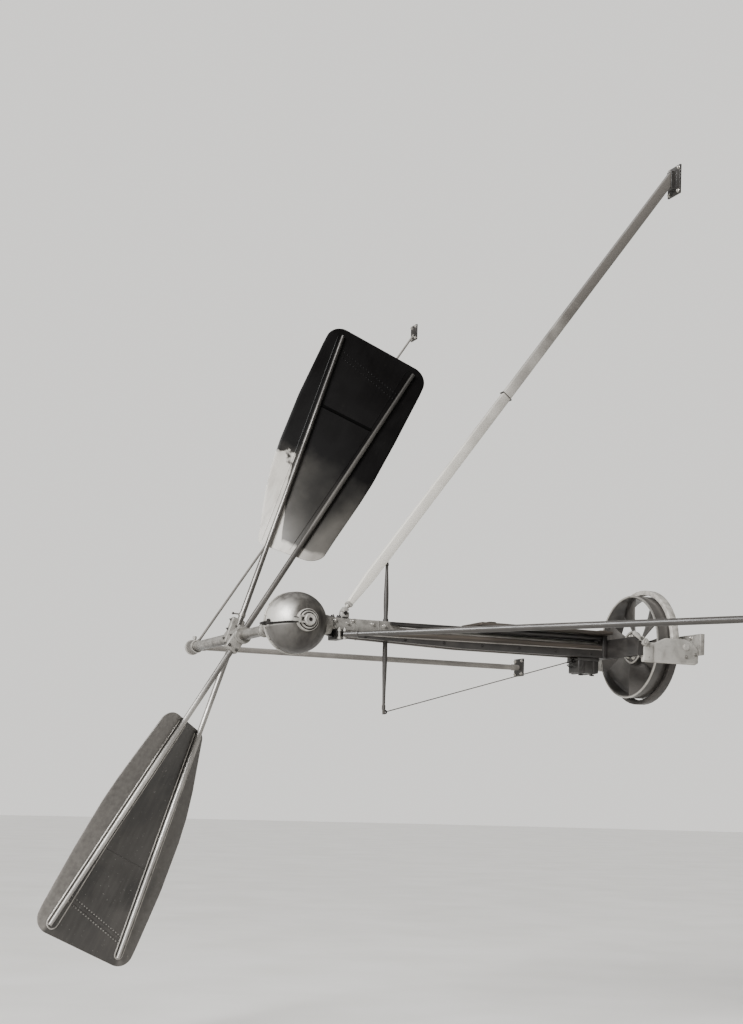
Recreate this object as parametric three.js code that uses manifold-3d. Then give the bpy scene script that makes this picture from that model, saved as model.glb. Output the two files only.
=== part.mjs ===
// A two-bladed paddle propeller of an early airship, with the outrigger that carries it clear of the car's side:
// a round gear case, the transverse drive shaft with its fan-spoked wheel, the main beam, its struts and stays.
// Millimetres. +X runs outboard from the car's side, +Y along the ship, +Z up.
// The origin is the centre of the bearing bridge's back face, where it bolts to the side of the car.
import * as THREE from 'three';
import { mergeVertices } from 'three/addons/utils/BufferGeometryUtils.js';
import Module from 'manifold-3d';

const wasm = await Module();
wasm.setup();

// Driving dimensions.
const GAP = 0.3;
const CASE_X = 2330;
const CASE_RADIUS = 162;
const CASE_WALL = 7;
const PROPELLER_Y = -911;
const OUTER_BEARING_Y = -1700;
const ARM_STAGGER = 116;
const ARM_MID_ANGLE = 26;
const ARM_HALF_ANGLE = 6.8;
const ARM_REACH = 1955;
const ARM_RADIUS_HUB = 18;
const ARM_RADIUS_TIP = 11;
const BLADE_ROOT = 580;
const BLADE_TIP = 1990;
const BLADE_THICKNESS = 6;
const PROP_SHAFT_RADIUS = 30;
const DRIVE_SHAFT_RADIUS = 17;
const HUB_RADIUS = 50;
const HUB_LENGTH = 210;
const NECK_TOP = 40;
const NECK_BOTTOM = -22;
const NECK_HALF_WIDTH = 24;
const NECK_END_X = CASE_X - 590;
const CLAMP_X = 2098;
const PEDESTAL_X = 440;
const RAIL_WIDTH = 36;
const RAIL_BOTTOM = -82;
const UPPER_TUBE_RADIUS = 14;
const UPPER_TUBE_Z = 35;
const BOARD_THICKNESS = 16;
const BOARD_END_X = 1290;
const OIL_BOX_END_X = 625;
const WHEEL_X = 190;
const WHEEL_RADIUS = 296;
const WHEEL_WIDTH = 130;
const WHEEL_DISC_RADIUS = 92;
const FAN_SPOKES = 6;
const CHEEK_Y = 360;
const HOOP_INNER = 306;
const HOOP_OUTER = 332;
const HOOP_BACK = 135;
const HOOP_FRONT = 180;
const BRIDGE_DEPTH = 30;
const BRIDGE_HALF_LENGTH = 386;
const BRIDGE_HALF_HEIGHT = 60;
const PLATE = 12;
const STRUT_TOP_X = 45;
const STRUT_TOP_Z = 2755;
const REAR_STRUT_Y = -3480;
const BRACE_ROOT_Y = 1770;
const BRACE_ROOT_Z = 41;
const KING_POST_X = 1813;
const KING_POST_FOOT_Z = -460;

// Finishes.
const finish = (color, roughness, metalness) => new THREE.MeshStandardMaterial({ color, roughness, metalness });
const finishes = {
  blade: finish(0x1d1b1a, 0.35, 0.3),
  armTube: finish(0x6d6a66, 0.4, 0.8),
  brightSteel: finish(0xa9a6a0, 0.35, 0.9),
  castAluminium: finish(0xb9b6ae, 0.5, 0.8),
  caseMetal: finish(0x5a5754, 0.35, 0.8),
  darkSteel: finish(0x35322f, 0.5, 0.6),
  paleTube: finish(0x9a958c, 0.5, 0.5),
  wood: finish(0xcdb98f, 0.6, 0),
  darkWood: finish(0x4a3d30, 0.65, 0),
  wire: finish(0x6b6864, 0.4, 0.9),
};

const airshipOutrigger = new THREE.Group();

function addMesh(name, geometry, material) {
  const mesh = new THREE.Mesh(geometry, material);
  mesh.name = name;
  airshipOutrigger.add(mesh);
  return mesh;
}

// A box from its lowest and highest corners.
function boxGeometry(low, high) {
  const size = high.map((value, axis) => value - low[axis]);
  const geometry = new THREE.BoxGeometry(...size);
  geometry.translate(...low.map((value, axis) => value + size[axis] / 2));
  return geometry;
}

// A round bar between two points, with a radius at each end.
function barGeometry(start, end, startRadius, endRadius = startRadius, sides = 16) {
  const from = new THREE.Vector3(...start);
  const to = new THREE.Vector3(...end);
  const geometry = new THREE.CylinderGeometry(endRadius, startRadius, from.distanceTo(to), sides);
  const along = to.clone().sub(from).normalize();
  geometry.applyQuaternion(new THREE.Quaternion().setFromUnitVectors(new THREE.Vector3(0, 1, 0), along));
  const middle = from.add(to).multiplyScalar(0.5);
  geometry.translate(middle.x, middle.y, middle.z);
  return geometry;
}

function addBar(name, start, end, startRadius, endRadius, material, sides = 16) {
  return addMesh(name, barGeometry(start, end, startRadius, endRadius, sides), material);
}

// A closed three.js geometry as a solid that can be joined and cut.
function toSolid(geometry) {
  const bare = geometry.clone();
  bare.deleteAttribute('normal');
  bare.deleteAttribute('uv');
  const merged = mergeVertices(bare, 1e-3);
  const vertProperties = new Float32Array(merged.attributes.position.array);
  const triVerts = new Uint32Array(merged.index.array);
  return new wasm.Manifold(new wasm.Mesh({ numProp: 3, vertProperties, triVerts }));
}

function fromSolid(solid) {
  const mesh = solid.getMesh();
  const geometry = new THREE.BufferGeometry();
  const stride = mesh.numProp;
  const count = mesh.vertProperties.length / stride;
  const positions = new Float32Array(count * 3);
  for (let i = 0; i < count; i += 1) {
    positions.set(mesh.vertProperties.slice(i * stride, i * stride + 3), i * 3);
  }
  geometry.setAttribute('position', new THREE.BufferAttribute(positions, 3));
  geometry.setIndex(new THREE.BufferAttribute(new Uint32Array(mesh.triVerts), 1));
  geometry.computeVertexNormals();
  return geometry;
}

// The first geometry with the others in joined added and those in cut taken away.
function carve(base, cut, joined = []) {
  let solid = toSolid(base);
  for (const geometry of joined) {
    solid = solid.add(toSolid(geometry));
  }
  for (const geometry of cut) {
    solid = solid.subtract(toSolid(geometry));
  }
  return fromSolid(solid);
}

// A flat outline in XZ, given as [x, z] points, with a thickness along Y about the plane y.
function sidePlate(outline, y, thickness) {
  const shape = new THREE.Shape(outline.map(([x, z]) => new THREE.Vector2(x, z)));
  const geometry = new THREE.ExtrudeGeometry(shape, { depth: thickness, bevelEnabled: false });
  geometry.rotateX(Math.PI / 2);
  geometry.translate(0, y + thickness / 2, 0);
  return geometry;
}

// A ring or disc about an axis parallel to X, between two stations.
function ringGeometry(centre, fromX, toX, outer, inner, sides) {
  const disc = barGeometry([fromX, centre[0], centre[1]], [toX, centre[0], centre[1]], outer, outer, sides);
  if (!inner) {
    return disc;
  }
  const bore = barGeometry([fromX - 5, centre[0], centre[1]], [toX + 5, centre[0], centre[1]], inner, inner, sides);
  return carve(disc, [bore]);
}

// Gear case: a hollow ball with a bore for each shaft, and the collars seated round it.
function buildGearCase() {
  const ballAt = (radius, detail) => {
    const ball = new THREE.SphereGeometry(radius, detail, detail / 2);
    ball.translate(CASE_X, 0, 0);
    return ball;
  };
  const propBore = barGeometry([CASE_X, 0, 0], [CASE_X, -CASE_RADIUS * 1.2, 0], 40, 40, 24);
  const driveBore = barGeometry([CASE_X, 0, 0], [CASE_X - CASE_RADIUS * 1.2, 0, 0], 28, 28, 20);
  const shell = carve(ballAt(CASE_RADIUS, 32), [ballAt(CASE_RADIUS - CASE_WALL, 24), propBore, driveBore]);
  addMesh('gear_case', shell, finishes.caseMetal);
  const seat = ballAt(CASE_RADIUS + GAP, 32);

  const nose = carve(
    barGeometry([CASE_X, 140, 0], [CASE_X, 176, 0], 60, 58, 32),
    [seat, barGeometry([CASE_X, 185, 0], [CASE_X, 215, 0], 9, 9, 16)],
    [
      barGeometry([CASE_X, 170, 0], [CASE_X, 186, 0], 46, 44, 32),
      barGeometry([CASE_X, 180, 0], [CASE_X, 204, 0], 31, 28, 24),
    ],
  );
  addMesh('nose_cap', nose, finishes.castAluminium);

  const farCollar = carve(
    barGeometry([CASE_X, -140, 0], [CASE_X, -184, 0], 52, 46, 32),
    [seat, barGeometry([CASE_X, -100, 0], [CASE_X, -220, 0], PROP_SHAFT_RADIUS + GAP, PROP_SHAFT_RADIUS + GAP, 32)],
    [barGeometry([CASE_X, -170, 0], [CASE_X, -206, 0], 38, 36, 32)],
  );
  addMesh('shaft_collar', farCollar, finishes.castAluminium);

  const boreRadius = DRIVE_SHAFT_RADIUS + GAP;
  const neckCollar = carve(
    barGeometry([CASE_X - 140, 0, 0], [CASE_X - 190, 0, 0], 58, 50, 32),
    [seat, barGeometry([CASE_X - 100, 0, 0], [CASE_X - 230, 0, 0], boreRadius, boreRadius, 24)],
  );
  addMesh('neck_collar', neckCollar, finishes.castAluminium);

  // An oil pipe that follows the ball's equator from the nose to a clip on the outboard side.
  const outline = [];
  const pipeInner = CASE_RADIUS + 5;
  const pipeOuter = CASE_RADIUS + 13;
  const steps = 14;
  const startAngle = 66;
  const endAngle = -22;
  const clipAngle = -16;
  for (let i = 0; i <= steps; i += 1) {
    const angle = THREE.MathUtils.degToRad(startAngle + ((endAngle - startAngle) * i) / steps);
    outline.push([pipeOuter * Math.cos(angle), pipeOuter * Math.sin(angle)]);
  }
  for (const angle of [endAngle, clipAngle]) {
    const turn = THREE.MathUtils.degToRad(angle);
    outline.push([(CASE_RADIUS + GAP) * Math.cos(turn), (CASE_RADIUS + GAP) * Math.sin(turn)]);
  }
  for (let i = 0; i <= steps; i += 1) {
    const angle = THREE.MathUtils.degToRad(clipAngle + ((startAngle - clipAngle) * i) / steps);
    outline.push([pipeInner * Math.cos(angle), pipeInner * Math.sin(angle)]);
  }
  const shape = new THREE.Shape(outline.map(([x, y]) => new THREE.Vector2(x, y)));
  const pipe = new THREE.ExtrudeGeometry(shape, { depth: 8, bevelEnabled: false });
  pipe.translate(CASE_X, 0, -4);
  addMesh('oil_pipe', pipe, finishes.brightSteel);
}

// The propeller turns about the fore-and-aft shaft: two crossed arm tubes, one behind the other, hold both blades.
function armDirection(angle) {
  const turn = THREE.MathUtils.degToRad(angle);
  return [-Math.sin(turn), Math.cos(turn)];
}

const arms = [
  // name, angle from upright, y offset from the hub's middle
  ['arm_tube_rear', ARM_MID_ANGLE - ARM_HALF_ANGLE, -ARM_STAGGER / 2],
  ['arm_tube_front', ARM_MID_ANGLE + ARM_HALF_ANGLE, ARM_STAGGER / 2],
];

function armRadiusAt(r) {
  return THREE.MathUtils.lerp(ARM_RADIUS_HUB, ARM_RADIUS_TIP, Math.min(r / ARM_REACH, 1));
}

// How far the blade reaches on each side of its middle line, at a distance r from the shaft.
const bladeWidths = [
  // r, minus side, plus side
  [580, 204, 112],
  [750, 228, 166],
  [900, 252, 213],
  [1050, 275, 249],
  [1200, 293, 272],
  [1500, 311, 300],
  [1850, 323, 312],
  [1990, 320, 312],
];

function bladeHalfWidth(r, side) {
  const column = side < 0 ? 1 : 2;
  const next = Math.max(1, bladeWidths.findIndex(([station]) => station >= r));
  const before = bladeWidths[next - 1];
  const after = bladeWidths[next];
  const share = (r - before[0]) / (after[0] - before[0]);
  return before[column] + (after[column] - before[column]) * share;
}

// A blade lies against the far side of both tubes, so it winds like a screw about the shaft.
const TIP_ROUND = 90;
const ROOT_ROUND_MINUS = 80;
const ROOT_ROUND_PLUS = 30;
const TUBE_CLEARANCE = 0.9;

function bladeStations() {
  const stations = [0, 0.12, 0.375, 0.65, 1].map((share) => BLADE_ROOT + ROOT_ROUND_MINUS * share);
  const middleSteps = 12;
  const middleEnd = BLADE_TIP - TIP_ROUND;
  for (let i = 1; i <= middleSteps; i += 1) {
    stations.push(THREE.MathUtils.lerp(BLADE_ROOT + ROOT_ROUND_MINUS, middleEnd, i / middleSteps));
  }
  for (const angle of [25, 50, 70, 90]) {
    stations.push(middleEnd + TIP_ROUND * Math.sin(THREE.MathUtils.degToRad(angle)));
  }
  return stations;
}

// How far a rounded corner draws the edge in, at a distance from where the corner's curve begins.
function cornerInset(distance, radius) {
  const reach = THREE.MathUtils.clamp(distance, 0, radius);
  return radius - Math.sqrt(radius ** 2 - reach ** 2);
}

function bladeGeometry() {
  const stations = bladeStations();
  const spread = Math.tan(THREE.MathUtils.degToRad(ARM_HALF_ANGLE));
  // Whole steps are the tubes' lines and the edges: -2 and 2 are the edges, -1 and 1 the tubes.
  const columns = [-2, -1.5, -1, -0.5, 0, 0.5, 1, 1.5, 2];
  const positions = [];
  for (const side of [1, -1]) {
    for (const r of stations) {
      const tube = r * spread;
      const tipInset = cornerInset(r - (BLADE_TIP - TIP_ROUND), TIP_ROUND);
      const pitch = Math.atan2(ARM_STAGGER / 2, tube);
      const back = (armRadiusAt(r) + TUBE_CLEARANCE + BLADE_THICKNESS / 2) / Math.cos(pitch);
      for (const column of columns) {
        const rootRound = column < 0 ? ROOT_ROUND_MINUS : ROOT_ROUND_PLUS;
        const half = bladeHalfWidth(r, column) - tipInset - cornerInset(BLADE_ROOT + rootRound - r, rootRound);
        const beyond = Math.max(Math.abs(column) - 1, 0);
        const across = Math.sign(column) * (Math.min(Math.abs(column), 1) * tube + beyond * (half - tube));
        const y = -(ARM_STAGGER / 2) * (across / tube) - back;
        const offset = side * (BLADE_THICKNESS / 2);
        positions.push(across + offset * Math.sin(pitch), y + offset * Math.cos(pitch), r);
      }
    }
  }
  const wide = columns.length;
  const rows = stations.length - 1;
  const layer = (rows + 1) * wide;
  const index = [];
  const quad = (a, b, c, d) => index.push(a, b, c, a, c, d);
  for (let i = 0; i < rows; i += 1) {
    for (let j = 0; j < wide - 1; j += 1) {
      const a = i * wide + j;
      quad(a, a + wide, a + wide + 1, a + 1);
      quad(layer + a, layer + a + 1, layer + a + wide + 1, layer + a + wide);
    }
    const left = i * wide;
    const right = left + wide - 1;
    quad(left, layer + left, layer + left + wide, left + wide);
    quad(right, right + wide, layer + right + wide, layer + right);
  }
  for (let j = 0; j < wide - 1; j += 1) {
    const tip = rows * wide + j;
    quad(j, j + 1, layer + j + 1, layer + j);
    quad(tip, layer + tip, layer + tip + 1, tip + 1);
  }
  const geometry = new THREE.BufferGeometry();
  geometry.setAttribute('position', new THREE.BufferAttribute(new Float32Array(positions), 3));
  geometry.setIndex(index);
  geometry.computeVertexNormals();
  return geometry;
}

function buildPropeller() {
  const bores = [];
  for (const [name, angle, offset] of arms) {
    const [dx, dz] = armDirection(angle);
    const y = PROPELLER_Y + offset;
    const end = (reach) => [CASE_X + dx * reach, y, dz * reach];
    const upper = barGeometry(end(0), end(ARM_REACH), ARM_RADIUS_HUB, ARM_RADIUS_TIP, 16);
    const lower = barGeometry(end(-ARM_REACH), end(1), ARM_RADIUS_TIP, ARM_RADIUS_HUB, 16);
    addMesh(name, carve(upper, [], [lower]), finishes.armTube);
    bores.push(barGeometry(end(-90), end(90), ARM_RADIUS_HUB + GAP, ARM_RADIUS_HUB + GAP, 16));
  }
  const hubEnd = HUB_LENGTH / 2;
  const hubFrom = [CASE_X, PROPELLER_Y - hubEnd, 0];
  const hubTo = [CASE_X, PROPELLER_Y + hubEnd, 0];
  const hub = barGeometry(hubFrom, hubTo, HUB_RADIUS, HUB_RADIUS, 24);
  addMesh('hub_block', carve(hub, bores), finishes.castAluminium);
  addBar('shaft_inner', [CASE_X, 60, 0], [CASE_X, PROPELLER_Y + hubEnd + GAP, 0],
    PROP_SHAFT_RADIUS, PROP_SHAFT_RADIUS, finishes.brightSteel, 24);
  addBar('shaft_outer', [CASE_X, PROPELLER_Y - hubEnd - GAP, 0], [CASE_X, OUTER_BEARING_Y - 30, 0],
    PROP_SHAFT_RADIUS, PROP_SHAFT_RADIUS, finishes.brightSteel, 24);
  for (const [name, half] of [['blade_upper', 0], ['blade_lower', 180]]) {
    const blade = addMesh(name, bladeGeometry(), finishes.blade);
    const turn = new THREE.Group();
    turn.position.set(CASE_X, PROPELLER_Y, 0);
    turn.rotation.y = THREE.MathUtils.degToRad(half - ARM_MID_ANGLE);
    turn.add(blade);
    airshipOutrigger.add(turn);
  }
}

// Outer bearing, with the tube and the rod that carry it from the car.
function buildOuterBearing() {
  const at = (y) => [CASE_X, OUTER_BEARING_Y + y, 0];
  const rodLine = new THREE.Vector3(-CASE_X, REAR_STRUT_Y - OUTER_BEARING_Y, STRUT_TOP_Z).normalize();
  const rodFoot = new THREE.Vector3(CASE_X, OUTER_BEARING_Y, 0);
  const alongRod = (reach) => rodFoot.clone().addScaledVector(rodLine, reach).toArray();
  const bore = barGeometry(at(60), at(-32), PROP_SHAFT_RADIUS + GAP, PROP_SHAFT_RADIUS + GAP, 32);
  const housing = carve(barGeometry(at(50), at(-46), 40, 40, 32), [bore], [
    barGeometry(at(-40), at(-54), 46, 46, 32),
    barGeometry(alongRod(34), alongRod(64), 14, 11, 16),
  ]);
  addMesh('outer_bearing', carve(housing, [bore]), finishes.castAluminium);
  const rodRadius = 8;
  const endTilt = rodRadius * Math.sqrt(1 - rodLine.x ** 2);
  const rodEnd = (CASE_X - PLATE - GAP - endTilt) / -rodLine.x;
  addBar('rear_rod', alongRod(64 + GAP), alongRod(rodEnd), rodRadius, rodRadius, finishes.paleTube, 12);
  addBar('rear_tube', [CASE_X - 40 - GAP, OUTER_BEARING_Y, 0], [PLATE + GAP, OUTER_BEARING_Y, 0],
    18, 18, finishes.paleTube, 16);
}

// Plates that bolt to the frame of the car's side.
const sidePlates = [
  // name, y, z, half width, half height
  ['rear_tube_plate', OUTER_BEARING_Y, 0, 60, 60],
  ['rear_rod_plate', REAR_STRUT_Y, STRUT_TOP_Z, 50, 60],
  ['strut_plate', 0, STRUT_TOP_Z, 60, 85],
  ['brace_plate', BRACE_ROOT_Y, BRACE_ROOT_Z, 60, 55],
];

function buildSidePlates() {
  for (const [name, y, z, halfWidth, halfHeight] of sidePlates) {
    const plate = boxGeometry([0, y - halfWidth, z - halfHeight], [PLATE, y + halfWidth, z + halfHeight]);
    const bosses = [];
    if (name === 'strut_plate') {
      bosses.push(boxGeometry([PLATE - 4, -24, z - 52], [STRUT_TOP_X, 24, z + 52]));
    }
    addMesh(name, carve(plate, [], bosses), finishes.darkSteel);
  }
}

// Main beam: the neck casting round the drive shaft, two timber rails, two tubes and the foot board on them.
function buildBeam() {
  const neckStart = CASE_X - 190 - GAP;
  const boreRadius = DRIVE_SHAFT_RADIUS + GAP;
  const neck = sidePlate([
    [neckStart, NECK_BOTTOM],
    [neckStart, NECK_TOP],
    [NECK_END_X + 60, NECK_TOP],
    [NECK_END_X, 26],
    [NECK_END_X, NECK_BOTTOM],
  ], 0, 2 * NECK_HALF_WIDTH);
  const bore = barGeometry([neckStart + 9, 0, 0], [NECK_END_X - 9, 0, 0], boreRadius, boreRadius, 24);
  addMesh('neck_casting', carve(neck, [bore]), finishes.castAluminium);
  const clamp = boxGeometry([CLAMP_X - 25, -62, -76], [CLAMP_X + 25, 62, NECK_BOTTOM - GAP]);
  addMesh('clamp_block', clamp, finishes.castAluminium);
  const railStart = CLAMP_X - 25 - GAP;
  const railEnd = PEDESTAL_X + 30 + GAP;
  for (const [name, sign] of [['rail_near', 1], ['rail_far', -1]]) {
    const y = sign * (NECK_HALF_WIDTH + GAP + RAIL_WIDTH / 2);
    const rail = sidePlate([
      [railStart, -60],
      [railStart, -31],
      [railStart - 700, -9],
      [railEnd, -9],
      [railEnd, RAIL_BOTTOM],
      [railStart - 700, RAIL_BOTTOM],
    ], y, RAIL_WIDTH);
    addMesh(name, rail, finishes.darkWood);
  }
  for (const [name, sign] of [['upper_tube_near', 1], ['upper_tube_far', -1]]) {
    const y = sign * (NECK_HALF_WIDTH + GAP + UPPER_TUBE_RADIUS);
    const outboardEnd = [NECK_END_X + 60, y, UPPER_TUBE_Z - 7];
    addBar(name, outboardEnd, [railEnd, y, UPPER_TUBE_Z], UPPER_TUBE_RADIUS - 4, UPPER_TUBE_RADIUS, finishes.darkSteel);
  }
  const boardBottom = UPPER_TUBE_Z + UPPER_TUBE_RADIUS + GAP;
  const board = boxGeometry([PEDESTAL_X, -120, boardBottom], [BOARD_END_X, 120, boardBottom + BOARD_THICKNESS]);
  addMesh('foot_board', board, finishes.darkWood);
  const pedestal = boxGeometry([PEDESTAL_X, -64, RAIL_BOTTOM], [PEDESTAL_X + 30, 64, boardBottom - GAP]);
  const crossBore = barGeometry([PEDESTAL_X - 60, 0, 0], [PEDESTAL_X + 60, 0, 0], boreRadius, boreRadius, 24);
  addMesh('shaft_pedestal', carve(pedestal, [crossBore]), finishes.castAluminium);
  const oilBox = boxGeometry([PEDESTAL_X + 50, -55, RAIL_BOTTOM - 90], [OIL_BOX_END_X, 55, RAIL_BOTTOM - GAP]);
  addMesh('oil_box', oilBox, finishes.darkSteel);
  const yokeX = PEDESTAL_X - GAP;
  const yoke = boxGeometry([yokeX - 36, -CHEEK_Y - 12, RAIL_BOTTOM], [yokeX, CHEEK_Y + 12, 22]);
  addMesh('yoke_beam', carve(yoke, [crossBore]), finishes.darkSteel);
}

// The yoke passes on both sides of the drive wheel, carries the hoop round it and ends on the bearing bridge.
function buildYoke() {
  const cheekOutboard = PEDESTAL_X - 2 * GAP - 36;
  const cheekInboard = BRIDGE_DEPTH + GAP;
  const cheekThickness = 26;
  for (const [name, sign] of [['cheek_near', 1], ['cheek_far', -1]]) {
    const cheek = sidePlate([
      [cheekOutboard, -118],
      [cheekOutboard, -8],
      [cheekOutboard - 84, -8],
      [cheekOutboard - 113, 6],
      [cheekOutboard - 151, 22],
      [cheekInboard + 92, 24],
      [cheekInboard + 62, 14],
      [cheekInboard + 32, -2],
      [cheekInboard + 12, -24],
      [cheekInboard, -38],
      [cheekInboard, -108],
      [cheekInboard + 20, -118],
    ], sign * CHEEK_Y, cheekThickness);
    addMesh(name, cheek, finishes.castAluminium);
  }
  const padEnd = CHEEK_Y - cheekThickness / 2 - GAP;
  const pads = [
    boxGeometry([HOOP_BACK, HOOP_OUTER - 8, -50], [HOOP_FRONT, padEnd, 10]),
    boxGeometry([HOOP_BACK, -padEnd, -50], [HOOP_FRONT, 8 - HOOP_OUTER, 10]),
  ];
  const hoop = ringGeometry([0, 0], HOOP_BACK, HOOP_FRONT, HOOP_OUTER, HOOP_INNER, 48);
  addMesh('side_hoop', carve(hoop, [], pads), finishes.paleTube);
  const bridge = carve(
    boxGeometry(
      [0, -BRIDGE_HALF_LENGTH, -BRIDGE_HALF_HEIGHT],
      [BRIDGE_DEPTH, BRIDGE_HALF_LENGTH, BRIDGE_HALF_HEIGHT],
    ),
    [barGeometry([12, 0, 0], [110, 0, 0], DRIVE_SHAFT_RADIUS + GAP, DRIVE_SHAFT_RADIUS + GAP, 24)],
    [barGeometry([0, 0, 0], [90, 0, 0], 52, 44, 32)],
  );
  addMesh('bearing_bridge', bridge, finishes.castAluminium);
}

// Drive shaft and the wheel with fan spokes that turns with it.
function buildDrive() {
  const shaftRadius = DRIVE_SHAFT_RADIUS;
  addBar('drive_shaft', [CASE_X - 100, 0, 0], [14, 0, 0], shaftRadius, shaftRadius, finishes.brightSteel, 24);
  const half = WHEEL_WIDTH / 2;
  const rimInner = WHEEL_RADIUS - 12;
  const discFace = WHEEL_X + 36;
  let wheel = toSolid(ringGeometry([0, 0], WHEEL_X - half, WHEEL_X + half, WHEEL_RADIUS, rimInner, 48));
  wheel = wheel.add(toSolid(barGeometry([WHEEL_X - half, 0, 0], [WHEEL_X + half, 0, 0], 46, 46, 32)));
  wheel = wheel.add(toSolid(ringGeometry([0, 0], discFace - 12, discFace, WHEEL_DISC_RADIUS, 0, 32)));
  const beyondRim = toSolid(ringGeometry([0, 0], WHEEL_X - 120, WHEEL_X + 120, 420, rimInner + 3, 48));
  const root = 36;
  const length = rimInner + 2 - root;
  for (let i = 0; i < FAN_SPOKES; i += 1) {
    const spoke = new THREE.BoxGeometry(1, 7, length, 1, 1, 6);
    spoke.translate(0, 0, root + length / 2);
    const place = spoke.attributes.position;
    for (let v = 0; v < place.count; v += 1) {
      const share = (place.getZ(v) - root) / length;
      const twist = THREE.MathUtils.degToRad(THREE.MathUtils.lerp(52, 74, share));
      const x = place.getX(v) * THREE.MathUtils.lerp(90, 262, share);
      const y = place.getY(v);
      place.setX(v, x * Math.cos(twist) - y * Math.sin(twist));
      place.setY(v, x * Math.sin(twist) + y * Math.cos(twist));
    }
    spoke.rotateX((i * 2 * Math.PI) / FAN_SPOKES + 0.35);
    spoke.translate(WHEEL_X, 0, 0);
    wheel = wheel.add(toSolid(spoke).subtract(beyondRim));
  }
  const bore = barGeometry([WHEEL_X - 90, 0, 0], [WHEEL_X + 90, 0, 0], shaftRadius + GAP, shaftRadius + GAP, 24);
  addMesh('drive_wheel', fromSolid(wheel.subtract(toSolid(bore))), finishes.darkSteel);
}

// Plank strut from the neck up to the car's upper edge, and the king post under it with its stay.
function buildStruts() {
  const lugTop = NECK_TOP + GAP + 34;
  const lugX = CASE_X - 272;
  const lug = boxGeometry([lugX - 24, -16, NECK_TOP + GAP], [lugX + 24, 16, lugTop]);
  addMesh('strut_lug', lug, finishes.castAluminium);
  const footRadius = 12;
  const foot = new THREE.Vector3(lugX, 0, lugTop + 8);
  const top = new THREE.Vector3(STRUT_TOP_X, 0, STRUT_TOP_Z);
  const along = top.clone().sub(foot).normalize();
  const across = new THREE.Vector3(-along.z, 0, along.x);
  const footLength = 38;
  const point = (reach) => foot.clone().addScaledVector(along, reach);
  const footEnd = point(footLength);
  addBar('strut_ferrule', foot.toArray(), footEnd.toArray(), footRadius, footRadius + 2, finishes.darkSteel);
  const widths = [
    // distance up the strut, half width
    [footLength + GAP, 14],
    [footLength + 200, 27],
    [footLength + 800, 34],
    [2200, 34],
    [3000, 27],
  ];
  const sides = [[], []];
  for (const [reach, half] of widths) {
    sides[0].push(point(reach).addScaledVector(across, half));
    sides[1].push(point(reach).addScaledVector(across, -half));
  }
  const plateFace = STRUT_TOP_X + GAP;
  for (const side of [0, 1]) {
    const last = sides[side].at(-1);
    const reach = (last.x - plateFace) / -along.x;
    sides[side].push(last.clone().addScaledVector(along, reach));
  }
  const outline = [...sides[0], ...sides[1].reverse()].map((corner) => [corner.x, corner.z]);
  addMesh('strut_plank', sidePlate(outline, 0, 36), finishes.wood);
  const postRadius = 10;
  const upTo = (foot.x - KING_POST_X) / -along.x;
  const underside = point(upTo).z - 27 / -along.x;
  const onPost = (z) => [KING_POST_X, 0, z];
  addBar('king_post_upper', onPost(NECK_TOP + GAP), onPost(underside - 16), postRadius, 7, finishes.darkSteel);
  addBar('king_post_lower', onPost(NECK_BOTTOM - GAP), onPost(KING_POST_FOOT_Z), postRadius + 1, 7, finishes.darkSteel);
  const stayTop = [OIL_BOX_END_X + 3, 0, RAIL_BOTTOM - 20];
  addBar('king_stay', [KING_POST_X - 8.3, 0, KING_POST_FOOT_Z + 14], stayTop, 3, 3, finishes.wire, 8);
}

// Round brace from the clamp forward to the car's side.
function buildBrace() {
  const clampFace = 62;
  const footRadius = 12;
  const rootRadius = 14;
  const end = new THREE.Vector3(PLATE, BRACE_ROOT_Y, BRACE_ROOT_Z);
  const start = new THREE.Vector3(CLAMP_X, clampFace, -52);
  const line = end.clone().sub(start).normalize();
  start.addScaledVector(line, (GAP + footRadius * Math.sqrt(1 - line.y ** 2)) / line.y);
  end.addScaledVector(line, (GAP + rootRadius * Math.sqrt(1 - line.x ** 2)) / line.x);
  const length = start.distanceTo(end);
  const stations = [
    // distance along, radius
    [0, footRadius],
    [500, 17],
    [length - 700, 19],
    [length, rootRadius],
  ];
  let brace = null;
  for (let i = 0; i < stations.length - 1; i += 1) {
    const [from, fromRadius] = stations[i];
    const [to, toRadius] = stations[i + 1];
    const a = start.clone().addScaledVector(line, from).toArray();
    const b = start.clone().addScaledVector(line, to + (i < stations.length - 2 ? 1 : 0)).toArray();
    const piece = toSolid(barGeometry(a, b, fromRadius, toRadius, 16));
    brace = brace ? brace.add(piece) : piece;
  }
  addMesh('brace_tube', fromSolid(brace), finishes.darkSteel);
}

buildGearCase();
buildPropeller();
buildOuterBearing();
buildSidePlates();
buildBeam();
buildYoke();
buildDrive();
buildStruts();
buildBrace();

export default airshipOutrigger;
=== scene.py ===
# %% [markdown]
# # A paddle propeller and its outrigger
# This lesson dresses an early airship's paddle propeller, with the gear case, drive shaft, wheel, beam and
# struts that carry it. The solids were made beforehand in a CAD script, and are loaded here as a frame that
# never moves. Each step below makes one piece or one finish, and prints what it made. All lengths are in
# metres: X runs outboard from the face that is bolted on, Y along the propeller's shaft, and Z up.

import math

import bpy
from mathutils import Matrix, Vector


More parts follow.
